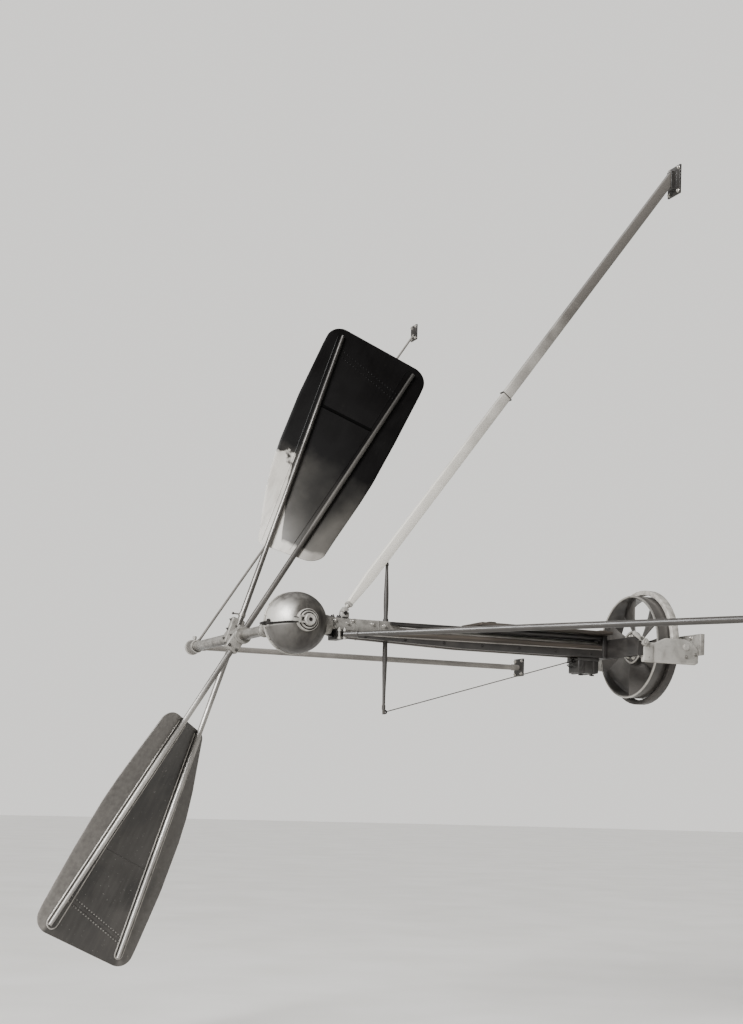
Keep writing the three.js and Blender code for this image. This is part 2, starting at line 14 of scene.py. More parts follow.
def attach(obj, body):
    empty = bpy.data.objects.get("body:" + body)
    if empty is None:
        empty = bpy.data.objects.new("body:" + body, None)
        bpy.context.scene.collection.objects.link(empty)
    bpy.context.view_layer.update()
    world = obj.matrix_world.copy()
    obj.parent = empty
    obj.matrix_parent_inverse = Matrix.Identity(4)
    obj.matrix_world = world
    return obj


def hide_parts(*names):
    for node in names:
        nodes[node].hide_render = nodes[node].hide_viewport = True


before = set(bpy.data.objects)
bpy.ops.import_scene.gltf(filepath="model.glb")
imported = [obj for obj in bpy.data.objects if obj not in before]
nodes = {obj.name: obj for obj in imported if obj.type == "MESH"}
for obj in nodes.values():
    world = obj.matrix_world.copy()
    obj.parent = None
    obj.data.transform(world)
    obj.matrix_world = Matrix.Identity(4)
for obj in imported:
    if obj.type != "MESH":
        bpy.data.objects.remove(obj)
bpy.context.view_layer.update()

# %% [markdown]
# ## The camera
# The picture was taken from low down, a little forward of the outrigger, with the lens raised on the plate,
# so upright lines stay nearly upright and eye level lies low in the frame. Such a view needs a shift as
# well as an angle. The numbers come from matching a dozen points of the solids, such as the shaft ends, to
# their places in the picture; that keeps every proportion, where a camera set by eye would bend them.

# %% Camera
PHOTO_WIDTH, PHOTO_HEIGHT = 743, 1024
FOCAL_PIXELS = 1566.6
CENTRE_PIXELS = (390.7, 786.9)
CAMERA_PLACE = Vector((5.368, 7.645, -0.887))
CAMERA_YAW, CAMERA_PITCH, CAMERA_ROLL = (math.radians(angle) for angle in (-115.267, 0.263, 1.356))
FILM_SIZE_MM = 36.0
FARTHEST_SEEN = 400

forward = Vector((
    math.cos(CAMERA_YAW) * math.cos(CAMERA_PITCH),
    math.sin(CAMERA_YAW) * math.cos(CAMERA_PITCH),
    math.sin(CAMERA_PITCH),
))
level_right = forward.cross(Vector((0, 0, 1))).normalized()
level_up = level_right.cross(forward)
right = level_right * math.cos(CAMERA_ROLL) + level_up * math.sin(CAMERA_ROLL)
up = level_up * math.cos(CAMERA_ROLL) - level_right * math.sin(CAMERA_ROLL)

bpy.ops.object.select_all(action="DESELECT")
bpy.ops.object.camera_add()
camera = bpy.context.object
camera.name = "camera"
camera.matrix_world = Matrix.Translation(CAMERA_PLACE) @ Matrix((right, up, -forward)).transposed().to_4x4()
camera.data.sensor_width = FILM_SIZE_MM
camera.data.lens = FOCAL_PIXELS / PHOTO_HEIGHT * FILM_SIZE_MM
camera.data.shift_x = -(CENTRE_PIXELS[0] - PHOTO_WIDTH / 2) / PHOTO_HEIGHT
camera.data.shift_y = (CENTRE_PIXELS[1] - PHOTO_HEIGHT / 2) / PHOTO_HEIGHT
camera.data.clip_end = FARTHEST_SEEN
bpy.context.scene.camera = camera
print("camera lens", round(camera.data.lens, 1), "mm")

# %% [markdown]
# ## Selecting and applying
# An operator acts on all that is selected, so each helper first leaves nothing selected but its own piece.
# The same few moves come back for every piece: its place is moved into its mesh, its doubles are merged,
# and a modifier is applied. Each is written once, so the later cells read like a list of shop operations.

# %% Selecting and applying
def clear_selection():
    """Nothing stays selected, so the next operator acts on the new piece alone."""
    if bpy.context.object and bpy.context.object.mode != "OBJECT":
        bpy.ops.object.mode_set(mode="OBJECT")
    bpy.ops.object.select_all(action="DESELECT")


def only(piece):
    """Selects one piece and makes it active."""
    clear_selection()
    piece.select_set(True)
    bpy.context.view_layer.objects.active = piece


def settled(piece, name):
    """Names a piece and moves its place, turn and size into its mesh."""
    only(piece)
    piece.name = piece.data.name = name
    bpy.ops.object.transform_apply(location=True, rotation=True, scale=True)
    return piece


def recalculated(piece):
    """Merges doubles, then turns every face outwards."""
    only(piece)
    bpy.ops.object.mode_set(mode="EDIT")
    bpy.ops.mesh.select_all(action="SELECT")
    bpy.ops.mesh.remove_doubles(threshold=1e-5)
    bpy.ops.mesh.normals_make_consistent(inside=False)
    bpy.ops.object.mode_set(mode="OBJECT")
    return piece


def applied(piece, kind, **settings):
    """Adds one modifier and applies it."""
    only(piece)
    modifier = piece.modifiers.new(kind.lower(), kind)
    for key, value in settings.items():
        setattr(modifier, key, value)
    bpy.ops.object.modifier_apply(modifier=modifier.name)
    return piece


def softened(piece, width, segments=2, degrees=30):
    """Rounds the edges that are sharper than an angle."""
    return applied(piece, "BEVEL", width=width, segments=segments, limit_method="ANGLE",
                   angle_limit=math.radians(degrees))


# %% [markdown]
# ## Blocks, lathe work and pipes
# Nearly every fitting here was sawn from bar, turned on a lathe or bent from pipe. So three helpers make
# most of them: a cube drawn to two corners, a circle extruded and resized from station to station as a
# turner works along a bar, and a curve with thickness. Spinning a profile would give the same rings, but
# stations are easier to read.

# %% Blocks, lathe work and pipes
X_AXIS, Y_AXIS, Z_AXIS = Vector((1, 0, 0)), Vector((0, 1, 0)), Vector((0, 0, 1))
ORIGIN = Vector((0, 0, 0))


def block(name, low, high, origin=ORIGIN):
    """A box between two corners, measured from an origin."""
    low, high = origin + Vector(low), origin + Vector(high)
    clear_selection()
    bpy.ops.mesh.primitive_cube_add(size=1, location=(low + high) / 2)
    bpy.context.object.scale = high - low
    return settled(bpy.context.object, name)


def eased_block(name, low, high, ease, origin=ORIGIN, segments=2):
    """A box between two corners with its edges rounded."""
    return softened(block(name, low, high, origin), ease, segments)


def placed_along(position, direction):
    """The matrix that carries a piece made on +Z at the origin to a place and a direction."""
    turning = Vector(direction).normalized().to_track_quat("Z", "Y").to_matrix().to_4x4()
    return Matrix.Translation(Vector(position)) @ turning


def turned(name, centre, axis, stations, sides=64, closed=False):
    """A round piece as if from a lathe: a ring is extruded from station to station, [(along, radius), ...].
    A closed one is a hollow ring whose last station meets its first."""
    clear_selection()
    along, radius = stations[0]
    fill = "NOTHING" if closed else "NGON"
    bpy.ops.mesh.primitive_circle_add(vertices=sides, radius=radius, fill_type=fill)
    piece = bpy.context.object
    bpy.ops.object.mode_set(mode="EDIT")
    bpy.ops.mesh.select_all(action="SELECT")
    bpy.ops.transform.translate(value=(0, 0, along))
    for (start, from_radius), (end, to_radius) in zip(stations, stations[1:]):
        move = {"value": (0, 0, end - start)}
        if closed:
            bpy.ops.mesh.extrude_edges_move(TRANSFORM_OT_translate=move)
        else:
            bpy.ops.mesh.extrude_region_move(TRANSFORM_OT_translate=move)
        share = to_radius / from_radius
        bpy.ops.transform.resize(value=(share, share, 1), center_override=(0, 0, end))
    bpy.ops.object.mode_set(mode="OBJECT")
    recalculated(piece)
    piece.matrix_world = placed_along(centre, axis)
    return settled(piece, name)


def flat_ring(name, centre, axis, span, radii, sides):
    """A plain hollow ring: where it starts and ends along its axis, and its inner and outer radius."""
    (start, end), (inner, outer) = span, radii
    section = [(start, inner), (start, outer), (end, outer), (end, inner), (start, inner)]
    return turned(name, centre, axis, section, sides, closed=True)


def rod(name, start, end, radius, end_radius=None, sides=32):
    """A round bar between two points."""
    line = Vector(end) - Vector(start)
    return turned(name, start, line, [(0, radius), (line.length, end_radius or radius)], sides)


def wire(name, points, radius, sides=8):
    """A bead or pipe that follows a list of points."""
    clear_selection()
    bpy.ops.curve.primitive_nurbs_path_add()
    piece = bpy.context.object
    curve = piece.data
    curve.splines.clear()
    spline = curve.splines.new("POLY")
    spline.points.add(len(points) - 1)
    for point, place in zip(spline.points, points):
        point.co = (*place, 1)
    curve.dimensions = "3D"
    curve.bevel_depth = radius
    curve.bevel_resolution = max(0, sides // 2 - 2)
    curve.use_fill_caps = True
    bpy.ops.object.convert(target="MESH")
    return recalculated(settled(bpy.context.object, name))


# %% [markdown]
# ## Copies, joints and dressing
# Bolts and rivets repeat by the dozen. Each kind is modelled once and copied to its places, every copy with
# a mesh of its own, and the copies are joined into one piece. The last helper gives a finished piece its
# material, and tells the frame which body it rides on and which solids it stands for.

# %% Copies and dressing
SMOOTH_DEGREES = 35


def copied(piece, name, matrix):
    """A copy with a mesh of its own, moved by a matrix."""
    twin = piece.copy()
    twin.data = piece.data.copy()
    twin.data.transform(matrix)
    bpy.context.scene.collection.objects.link(twin)
    twin.name = twin.data.name = name
    return twin


def joined(name, pieces):
    """Several meshes as one piece."""
    clear_selection()
    for piece in pieces:
        piece.select_set(True)
    bpy.context.view_layer.objects.active = pieces[0]
    if len(pieces) > 1:
        bpy.ops.object.join()
    return settled(bpy.context.object, name)


def repeated(name, pattern_piece, places):
    """One piece from copies of a pattern at [(position, direction), ...]; the pattern itself is removed."""
    copies = [copied(pattern_piece, name, placed_along(*place)) for place in places]
    bpy.data.objects.remove(pattern_piece)
    return joined(name, copies)


def ring_places(count, centre, axis, radius, start=0.0):
    """Places evenly round an axis that lies along X or Y, each facing along it, from a starting angle."""
    across = Y_AXIS if axis.x else X_AXIS
    places = []
    for i in range(count):
        angle = start + 2 * math.pi * i / count
        places.append((centre + radius * (across * math.cos(angle) + Z_AXIS * math.sin(angle)), axis))
    return places


def dressed(piece, body, finish, replaces=(), smooth=SMOOTH_DEGREES):
    """Gives a piece its finish, its shading, the body it rides on and the CAD nodes it stands for."""
    only(piece)
    bpy.ops.object.shade_smooth_by_angle(angle=math.radians(smooth))
    piece.data.materials.clear()
    piece.data.materials.append(finish)
    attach(piece, body)
    if replaces:
        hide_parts(*replaces)
    print(piece.name, len(piece.data.polygons), "faces, rides on", body)
    return piece


# %% [markdown]
# ## Sizes shared with the solids
# The arms, blades and case are worked out from the same few numbers as in the CAD script, so each dressed
# piece lies on the solid that it dresses. The propeller's two arm tubes cross at the hub, one before the
# other, and each blade is stretched against the far side of both, which winds it like a screw.

# %% Shared sizes
CASE = Vector((2.33, 0, 0))
CASE_RADIUS = 0.162
HUB = Vector((CASE.x, -0.911, 0))
BEARING = Vector((CASE.x, -1.70, 0))
STRUT_FOOT, STRUT_HEAD = Vector((2.058, 0, 0.0823)), Vector((0.045, 0, 2.755))
BRACE_START, BRACE_END = Vector((2.0863, 0.0716, -0.0515)), Vector((0.012, 1.770, 0.041))
ARM_STAGGER = 0.116
ARM_MID, ARM_HALF = math.radians(26.0), math.radians(6.8)
TUBE_SLOPE = math.tan(ARM_HALF)
ARM_REACH = 1.955
ARM_RADII = (0.018, 0.011)
BLADE_ROOT, BLADE_TIP = 0.58, 1.99
BLADE_THICKNESS = 0.006
TUBE_CLEARANCE = 0.0009
BLADE_WIDTHS = [
    # distance from the shaft, reach on the minus side, reach on the plus side
    (0.58, 0.204, 0.112), (0.75, 0.228, 0.166), (0.90, 0.252, 0.213), (1.05, 0.275, 0.249),
    (1.20, 0.293, 0.272), (1.50, 0.311, 0.300), (1.85, 0.323, 0.312), (1.99, 0.320, 0.312),
]


def arm_radius(r):
    """The arm tubes taper from the hub to the tip."""
    return ARM_RADII[0] + (ARM_RADII[1] - ARM_RADII[0]) * min(r / ARM_REACH, 1)


def half_width(r, side):
    """How far the blade reaches on one side of its middle line, at a distance r from the shaft."""
    column = 1 if side < 0 else 2
    for before, after in zip(BLADE_WIDTHS, BLADE_WIDTHS[1:]):
        if r <= after[0]:
            share = (r - before[0]) / (after[0] - before[0])
            return before[column] + (after[column] - before[column]) * share
    return BLADE_WIDTHS[-1][column]


def screw_point(across, r, lift=0.0):
    """A point of the blade's middle plane, or lift in front of it, in the blade's own frame."""
    tube = r * TUBE_SLOPE
    pitch = math.atan2(ARM_STAGGER / 2, tube)
    back = (arm_radius(r) + TUBE_CLEARANCE + BLADE_THICKNESS / 2) / math.cos(pitch)
    y = -(ARM_STAGGER / 2) * across / tube - back
    return Vector((across + lift * math.sin(pitch), y + lift * math.cos(pitch), r))


def blade_matrix(half_turn):
    """From a blade's own frame to its place on the hub."""
    return Matrix.Translation(HUB) @ Matrix.Rotation(half_turn - ARM_MID, 4, "Y")


print("blade width at the tip", half_width(BLADE_TIP, -1) + half_width(BLADE_TIP, 1))

# %% [markdown]
# ## Building finishes from nodes
# A finish is a small tree of nodes: patterns that read the object's own coordinates in metres, a shader,
# and a bump. One function adds a node, sets what is given as a value and links what is given as an output,
# so a tree reads from top to bottom. The picture has no colour, so every tone stays close to grey, with the
# slight warmth that such materials have.

# %% One function that adds a node
def linear(hex_colour):
    """An sRGB hex colour as linear light."""
    channels = [int(hex_colour[i:i + 2], 16) / 255 for i in (1, 3, 5)]
    return (*[c / 12.92 if c <= 0.04045 else ((c + 0.055) / 1.055) ** 2.4 for c in channels], 1)


def add(tree, kind, given, output=0):
    """Adds a node and returns one of its outputs. What is given is a property of the node, such as a Math
    node's operation, or an input, which is linked to an output or set to a hex colour or another value."""
    node = tree.nodes.new("ShaderNode" + kind)
    for key, value in given.items():
        if isinstance(key, str) and hasattr(node, key):
            setattr(node, key, value)
        elif isinstance(value, bpy.types.NodeSocket):
            tree.links.new(value, node.inputs[key])
        else:
            node.inputs[key].default_value = linear(value) if isinstance(value, str) else value
    return node.outputs[output]


# %% [markdown]
# ## Patterns, distances and layers
# Dust and stains aren't even: dust lies in clouds and stains gather in patches, and the painted light and
# shade on several pieces is brighter to one side or darker below. Two things say where each is: a noise at
# a real size in millimetres, and a distance along a direction from a point of the piece. A picture could be
# painted on instead, but these need no unwrapping and hold at any size. Colours are then laid one over
# another, as a painter glazes.

# %% Patterns, distances and layers
NOISE_LOW, NOISE_HIGH = 0.3, 0.7


def pattern(tree, size_mm, stretch=(1, 1, 1), turn=(0, 0, 0), detail=4.0, distortion=0.0):
    """A noise whose blotches are about size_mm across, turned and then drawn out along its own axes."""
    place = add(tree, "TexCoord", {}, "Object")
    scale = [1 / share for share in stretch]
    mapping = {"vector_type": "TEXTURE", "Vector": place, "Rotation": turn, "Scale": scale}
    drawn_out = add(tree, "Mapping", mapping)
    noise = {"Vector": drawn_out, "Scale": 1000 / size_mm, "Detail": detail, "Distortion": distortion}
    return add(tree, "TexNoise", noise, "Fac")


def blotches(tree, size_mm, start, full, amount=1.0, **noise):
    """Patches about size_mm across, as a share: none where the noise is below start, amount above full."""
    level = pattern(tree, size_mm, **noise)
    return add(tree, "MapRange", {"Value": level, "From Min": start, "From Max": full, "To Max": amount})


def wander(tree, size_mm, swing):
    """A number that wanders between -swing and swing over about size_mm, to make a straight limit ragged."""
    limits = {"From Min": NOISE_LOW, "From Max": NOISE_HIGH, "To Min": -swing, "To Max": swing}
    return add(tree, "MapRange", {**limits, "Value": pattern(tree, size_mm)})


def along(tree, origin, direction, ragged_mm=0, swing=0.0):
    """How far a point of the piece lies from an origin along a direction, in metres, give or take a swing."""
    place = add(tree, "TexCoord", {}, "Object")
    offset = add(tree, "VectorMath", {"operation": "SUBTRACT", 0: place, 1: origin})
    distance = add(tree, "VectorMath", {"operation": "DOT_PRODUCT", 0: offset, 1: direction}, "Value")
    if swing:
        distance = add(tree, "Math", {"operation": "ADD", 0: distance, 1: wander(tree, ragged_mm, swing)})
    return distance


def layered(tree, colour, *layers):
    """Colours laid one over another: each layer is how much it covers, and its colour."""
    for cover, over in layers:
        colour = add(tree, "Mix", {"data_type": "RGBA", 0: cover, 6: colour, 7: over}, 2)
    return colour


def new_finish(name, **settings):
    """A finish with its tree and shader; what is the same all over is set on the shader's own sockets."""
    finish = bpy.data.materials.new(name)
    finish.use_nodes = True
    shader = finish.node_tree.nodes["Principled BSDF"]
    for socket, value in settings.items():
        shader.inputs[socket.replace("_", " ")].default_value = value
    return finish, finish.node_tree, shader


def complete(tree, shader, colour, roughness, relief=None, depth_mm=0.0, strength=1.0):
    """Feeds the shader its colour and roughness, and a relief whose full swing is depth_mm deep."""
    tree.links.new(colour, shader.inputs["Base Color"])
    tree.links.new(roughness, shader.inputs["Roughness"])
    if depth_mm:
        bump = add(tree, "Bump", {"Strength": strength, "Distance": depth_mm / 1000, "Height": relief})
        tree.links.new(bump, shader.inputs["Normal"])


# %% [markdown]
# ## Black japan on the blades
# The blades are sheet brushed with black japan, a bitumen varnish: nearly black and glossy where clean, and
# grey where dust lies on it. The sheet isn't quite flat, so its reflections bend. Both blades share this
# varnish, and each adds its own layer: dust on the lower blade, and a painted reflection and a pale patch on
# the upper one.

# %% Black japan
SHEET_WAVE_MM, SHEET_WAVE_DEPTH_MM, SHEET_WAVE_STRENGTH = 420, 7, 0.4


def japanned_sheet(name, turn, tones, roughness, gloss, coat, dust_and_sheen):
    """Black japan on sheet. Turn is the blade's turn about the shaft, tones are clean, dusty and speck, and
    dust_and_sheen is the function that lays the blade's own layer over the varnish: dust on the lower blade,
    a painted reflection and a pale patch on the upper one."""
    settings = {"Specular_IOR_Level": gloss, "Coat_Weight": coat, "Coat_Roughness": 0.12}
    finish, tree, shader = new_finish(name, **settings)
    clean, dusty, speck = tones
    # Brush-wide clouds where dust has settled, thin streaks of wiping along the blade, then fine specks.
    clouds = blotches(tree, 340, 0.35, 0.7, 0.8, detail=5, distortion=0.5)
    streaks = blotches(tree, 22, 0.42, 0.72, 0.3, stretch=(1, 1, 0.12), turn=(0, turn, 0))
    specks = blotches(tree, 11, 0.69, 0.76, 0.35, detail=2)
    cloudy = layered(tree, clean, (clouds, dusty))
    varnish = layered(tree, cloudy, (streaks, dusty), (specks, speck))
    across = along(tree, CASE, (math.cos(turn), 0, -math.sin(turn)))
    reach = along(tree, CASE, (math.sin(turn), 0, math.cos(turn)))
    rough = add(tree, "MapRange", {"Value": clouds, "To Min": roughness, "To Max": roughness + 0.14})
    wave = pattern(tree, SHEET_WAVE_MM, detail=1.5)
    colour = dust_and_sheen(tree, varnish, across, reach)
    complete(tree, shader, colour, rough, wave, SHEET_WAVE_DEPTH_MM, SHEET_WAVE_STRENGTH)
    return finish


# %% [markdown]
# ## Painted sheen and a pale patch on the upper blade
# This blade is black and clean. Towards the root it is grey, a painted reflection of the sheen it takes
# there, and beside one tube it is pale up to a ragged line. Each patch is a product of limits: so far along
# the blade, and so far past the tube. Painting them by hand would look alike, but limits can be moved by
# changing one number.

# %% Upper blade
def upper_sheen_and_pale_patch(tree, varnish, across, reach):
    """Grey towards the root, a painted reflection, and pale beside one tube."""
    tube = add(tree, "Math", {"operation": "MULTIPLY", 0: reach, 1: TUBE_SLOPE})
    beyond = add(tree, "Math", {"operation": "SUBTRACT", 0: across, 1: tube})
    # The painted reflection is strongest beside the tube and near the root, and fades out over the blade's
    # first half.
    soft_reach = add(tree, "Math", {"operation": "ADD", 0: reach, 1: wander(tree, 160, 0.12)})
    near = add(tree, "MapRange", {
        "Value": soft_reach, "From Min": 0.62, "From Max": 1.22, "To Min": 1, "To Max": 0})
    beside = add(tree, "MapRange", {"Value": beyond, "From Min": -0.16, "From Max": -0.01, "To Min": 0.30})
    slant = add(tree, "Math", {"operation": "MULTIPLY_ADD", 0: reach, 1: 0.35, 2: across})
    lobe = add(tree, "MapRange", {
        "Value": slant, "From Min": 0.10, "From Max": 0.22, "To Min": 0.75, "To Max": 0})
    either = add(tree, "Math", {"operation": "MAXIMUM", 0: beside, 1: lobe})
    painted_sheen = add(tree, "Math", {"operation": "MULTIPLY", 0: near, 1: either})
    # The margin beyond the tube is pale up to a ragged line, and so is a tongue of the panel beside it.
    tongue = add(tree, "MapRange", {
        "Value": beyond, "From Min": -0.062, "From Max": -0.006, "To Min": 0.645, "To Max": 0.93})
    margin = add(tree, "MapRange", {"Value": beyond, "From Min": 0.006, "From Max": 0.02, "To Max": 0.21})
    end = add(tree, "Math", {"operation": "ADD", 0: tongue, 1: margin})
    torn = add(tree, "MapRange", {"Value": beyond, "From Min": -0.02, "From Max": 0.02, "To Min": 0.15})
    uneven = wander(tree, 70, 0.06)
    ragged_reach = add(tree, "Math", {"operation": "MULTIPLY_ADD", 0: uneven, 1: torn, 2: reach})
    past_end = add(tree, "Math", {"operation": "SUBTRACT", 0: ragged_reach, 1: end})
    pale_area = add(tree, "MapRange", {
        "Value": past_end, "From Min": -0.012, "From Max": 0.012, "To Min": 1, "To Max": 0})
    stains = blotches(tree, 45, 0.5, 0.7, 0.45, stretch=(1, 1, 0.3), turn=(0, -ARM_MID, 0), detail=5)
    shaded = add(tree, "MapRange", {
        "Value": across, "From Min": -0.16, "From Max": -0.02, "To Min": 0.85, "To Max": 0})
    metal = layered(tree, "#b4b0a9", (stains, "#827e77"), (shaded, "#66625d"))
    # Painted reflection: the grey over the varnish near the root stands for the blade's sheen there. The pale
    # area is a pale tone, darker to one side.
    return layered(tree, varnish, (painted_sheen, "#5b5853"), (pale_area, metal))


upper_varnish = japanned_sheet("japanned_sheet_clean", -ARM_MID, ("#050404", "#0f0e0e", "#22201f"),
                               roughness=0.34, gloss=0.14, coat=0.03, dust_and_sheen=upper_sheen_and_pale_patch)
print("finish", upper_varnish.name)

# %% [markdown]
# ## Dust on the lower blade
# The lower blade wears the same varnish, but hangs lower, and its two margins outside the tubes are grey
# with dust, most towards one corner of its tip. The share of dust is worked out from how far a point lies
# outside the tubes, and is broken up by a fine mottle.

# %% Lower blade
def lower_wear(tree, varnish, across, reach):
    """Dust on the two margins outside the tubes, most on one side and towards the tip's corner."""
    tube = add(tree, "Math", {"operation": "MULTIPLY", 0: reach, 1: TUBE_SLOPE})
    sideways = add(tree, "Math", {"operation": "ABSOLUTE", 0: across})
    outside = add(tree, "Math", {"operation": "SUBTRACT", 0: sideways, 1: tube})
    margin = add(tree, "MapRange", {"Value": outside, "From Min": -0.004, "From Max": 0.02})
    one_side = add(tree, "MapRange", {
        "Value": across, "From Min": -0.12, "From Max": 0.12, "To Min": 0.95, "To Max": 0.45})
    slant = add(tree, "Math", {"operation": "SUBTRACT", 0: reach, 1: across})
    corner = add(tree, "MapRange", {"Value": slant, "From Min": 1.5, "From Max": 2.2, "To Max": 0.5})
    settled_dust = add(tree, "Math", {"operation": "ADD", 0: one_side, 1: corner})
    dust = add(tree, "Math", {"operation": "MULTIPLY", 0: margin, 1: settled_dust})
    level = pattern(tree, 26, detail=5)
    mottle = add(tree, "MapRange", {
        "Value": level, "From Min": NOISE_LOW, "From Max": NOISE_HIGH, "To Min": 0.55})
    mottled = add(tree, "Math", {"operation": "MULTIPLY", 0: dust, 1: mottle})
    cover = add(tree, "Math", {"operation": "MULTIPLY", 0: mottled, 1: 0.62})
    return layered(tree, varnish, (cover, "#8a8681"))


lower_varnish = japanned_sheet("japanned_sheet_dusty", math.pi - ARM_MID, ("#2f2d2b", "#504d4a", "#a9a6a1"),
                               roughness=0.36, gloss=0.3, coat=0.2, dust_and_sheen=lower_wear)
print("finish", lower_varnish.name)

# %% [markdown]
# ## Metals and paints
# Bare and painted metal differ in few things: how much of it shines as metal, how rough it is, how large
# its stains are, and how fine and deep its grain is. So one function makes them all, and each is named for
# what the real one is. Where oil, dust or paint covers part of a metal, it is only part metallic.

# %% Metals and paints
STAIN_COVER = 0.6
GRAIN_COVER = 0.22


def worked_metal(name, clean, stained, roughness, metallic, blotch_mm, grain_mm, depth_mm=0.0, **settings):
    """A metal or paint with stains of one size and a surface grain of another."""
    finish, tree, shader = new_finish(name, Metallic=metallic, **settings)
    stains = blotches(tree, blotch_mm, 0.42, 0.72, detail=5, distortion=0.4)
    grain = pattern(tree, grain_mm, detail=3)
    grained = add(tree, "MapRange", {
        "Value": grain, "From Min": NOISE_LOW, "From Max": NOISE_HIGH, "To Max": GRAIN_COVER})
    cover = add(tree, "Math", {"operation": "MULTIPLY", 0: stains, 1: STAIN_COVER})
    colour = layered(tree, clean, (grained, stained), (cover, stained))
    rough = add(tree, "MapRange", {"Value": stains, "To Min": roughness, "To Max": min(1, roughness + 0.12)})
    complete(tree, shader, colour, rough, grain, depth_mm)
    return finish


# Small drawn rods, wiped with oil: smooth and mid grey.
oiled_tube = worked_metal("oiled_drawn_steel", "#7d7a75", "#4a4743", roughness=0.36, metallic=0.5,
                          blotch_mm=260, grain_mm=90)
# The seams beside the tubes, where the varnish is rubbed through to the steel.
rubbed_seam = worked_metal("rubbed_steel_seam", "#b9b5af", "#55524e", roughness=0.36, metallic=0.4,
                           blotch_mm=90, grain_mm=12, depth_mm=0.02)
# Rivet heads, grey with dust in the same way.
dull_seam = worked_metal("dusty_rivet_heads", "#8b8883", "#55524f", roughness=0.42, metallic=0.2,
                         blotch_mm=60, grain_mm=12, depth_mm=0.02)
# Painted shade on the ridge that crosses the upper blade: nearly black, it reflects next to nothing.
ridge_painted_shade = worked_metal("ridge_painted_shade", "#030303", "#070606", roughness=0.9, metallic=0.0,
                           blotch_mm=60, grain_mm=6, depth_mm=0.1, Specular_IOR_Level=0.05)
# Turned shafting and bolts: bright, with a fine grain of tool marks.
turned_steel = worked_metal("turned_bright_steel", "#c6c3bd", "#8a8680", roughness=0.28, metallic=0.8,
                            blotch_mm=120, grain_mm=3, depth_mm=0.02)
# Sand-cast aluminium: its grain of about 1 mm is drawn at 4 mm so that it shows.
cast_aluminium = worked_metal("sand_cast_aluminium", "#b2afa9", "#6c6964", roughness=0.48, metallic=0.35,
                              blotch_mm=60, grain_mm=4, depth_mm=0.12)
# The same metal out in the weather, blotched with oil and grime.
weathered_cast = worked_metal("weathered_cast_aluminium", "#8f8c86", "#45423f", roughness=0.55, metallic=0.25,
                              blotch_mm=38, grain_mm=5, depth_mm=0.25)
# Dark enamelled steel, dull, with worn grey patches.
dark_enamel = worked_metal("dark_enamelled_steel", "#1c1a19", "#35322f", roughness=0.4, metallic=0.1,
                           blotch_mm=90, grain_mm=7, depth_mm=0.04, Coat_Weight=0.15)
# Dark varnish on the king posts and the brace, which takes a soft line of light along its top.
dark_varnish = worked_metal("dulled_dark_varnish", "#3b3835", "#262422", roughness=0.42, metallic=0.0,
                            blotch_mm=160, grain_mm=30, Coat_Weight=0.1)
# Blackened pipe and small ironwork.
black_iron = worked_metal("blackened_iron", "#1d1b1a", "#3a3734", roughness=0.42, metallic=0.5,
                          blotch_mm=40, grain_mm=5, depth_mm=0.04)
# Old grey paint on the rear stays, darker in patches.
pale_paint = worked_metal("old_grey_paint", "#77736e", "#4b4844", roughness=0.46, metallic=0.0,
                          blotch_mm=140, grain_mm=9, depth_mm=0.03, Coat_Weight=0.1)
# Grey paint on the drive wheel, stained dark with oil.
wheel_paint = worked_metal("oily_grey_paint", "#4c4946", "#2c2a28", roughness=0.34, metallic=0.1,
                           blotch_mm=110, grain_mm=9, depth_mm=0.03, Coat_Weight=0.2)
# Stranded wire rope, too fine to show its lay except as a glint.
wire_rope = worked_metal("stranded_wire_rope", "#6d6a66", "#4c4945", roughness=0.4, metallic=0.8,
                         blotch_mm=60, grain_mm=6, depth_mm=0.1)
print("finishes", len(bpy.data.materials))

# %% [markdown]
# ## Finishes that change with height
# The arm tubes are oiled dark above the hub and pale below it, a painted highlight; the shaft is dark
# underneath and the hoop round the wheel is dark in its lower half, both painted shade. In each, one tone
# gives way to another at a height whose limit is made ragged by a pattern.

# %% Arm tubes, shaft and hoop
def arm_finish():
    """Drawn tube: oiled dark above the hub and darker still towards the top, and pale below it, a painted
    highlight.
    """
    finish, tree, shader = new_finish("drawn_tube_painted_highlight", Metallic=0.45)
    stains = blotches(tree, 200, 0.42, 0.68, stretch=(1, 1, 0.4), turn=(0, -ARM_MID, 0))
    height = along(tree, ORIGIN, Z_AXIS, ragged_mm=300, swing=0.2)
    far_up = add(tree, "MapRange", {"Value": height, "From Min": 0.6, "From Max": 1.5, "To Max": 0.6})
    upward = add(tree, "MapRange", {"Value": height, "From Min": -0.75, "From Max": 0.15})
    # Painted highlight: the pale tone below the hub stands for the light that the lower tubes catch.
    painted_sheen = layered(tree, "#a8a5a0", (stains, "#767370"))
    oiled = layered(tree, "#625f5b", (stains, "#3a3734"), (far_up, "#1f1d1c"))
    rough = add(tree, "MapRange", {"Value": stains, "To Min": 0.30, "To Max": 0.44})
    complete(tree, shader, layered(tree, painted_sheen, (upward, oiled)), rough)
    return finish


def shaft_finish():
    """The propeller's shaft: turned steel, bright above and dark below, the dark a painted shade."""
    finish, tree, shader = new_finish("shaft_steel_painted_shade", Metallic=0.7)
    stains = blotches(tree, 90, 0.42, 0.7)
    height = along(tree, ORIGIN, Z_AXIS, ragged_mm=40, swing=0.006)
    # Painted shade: the underside is darkened.
    below = add(tree, "MapRange", {
        "Value": height, "From Min": -0.032, "From Max": 0.006, "To Min": 1, "To Max": 0})
    rough = add(tree, "MapRange", {"Value": stains, "To Min": 0.28, "To Max": 0.4})
    complete(tree, shader, layered(tree, "#c0bdb7", (stains, "#85817b"), (below, "#2b2826")), rough)
    return finish


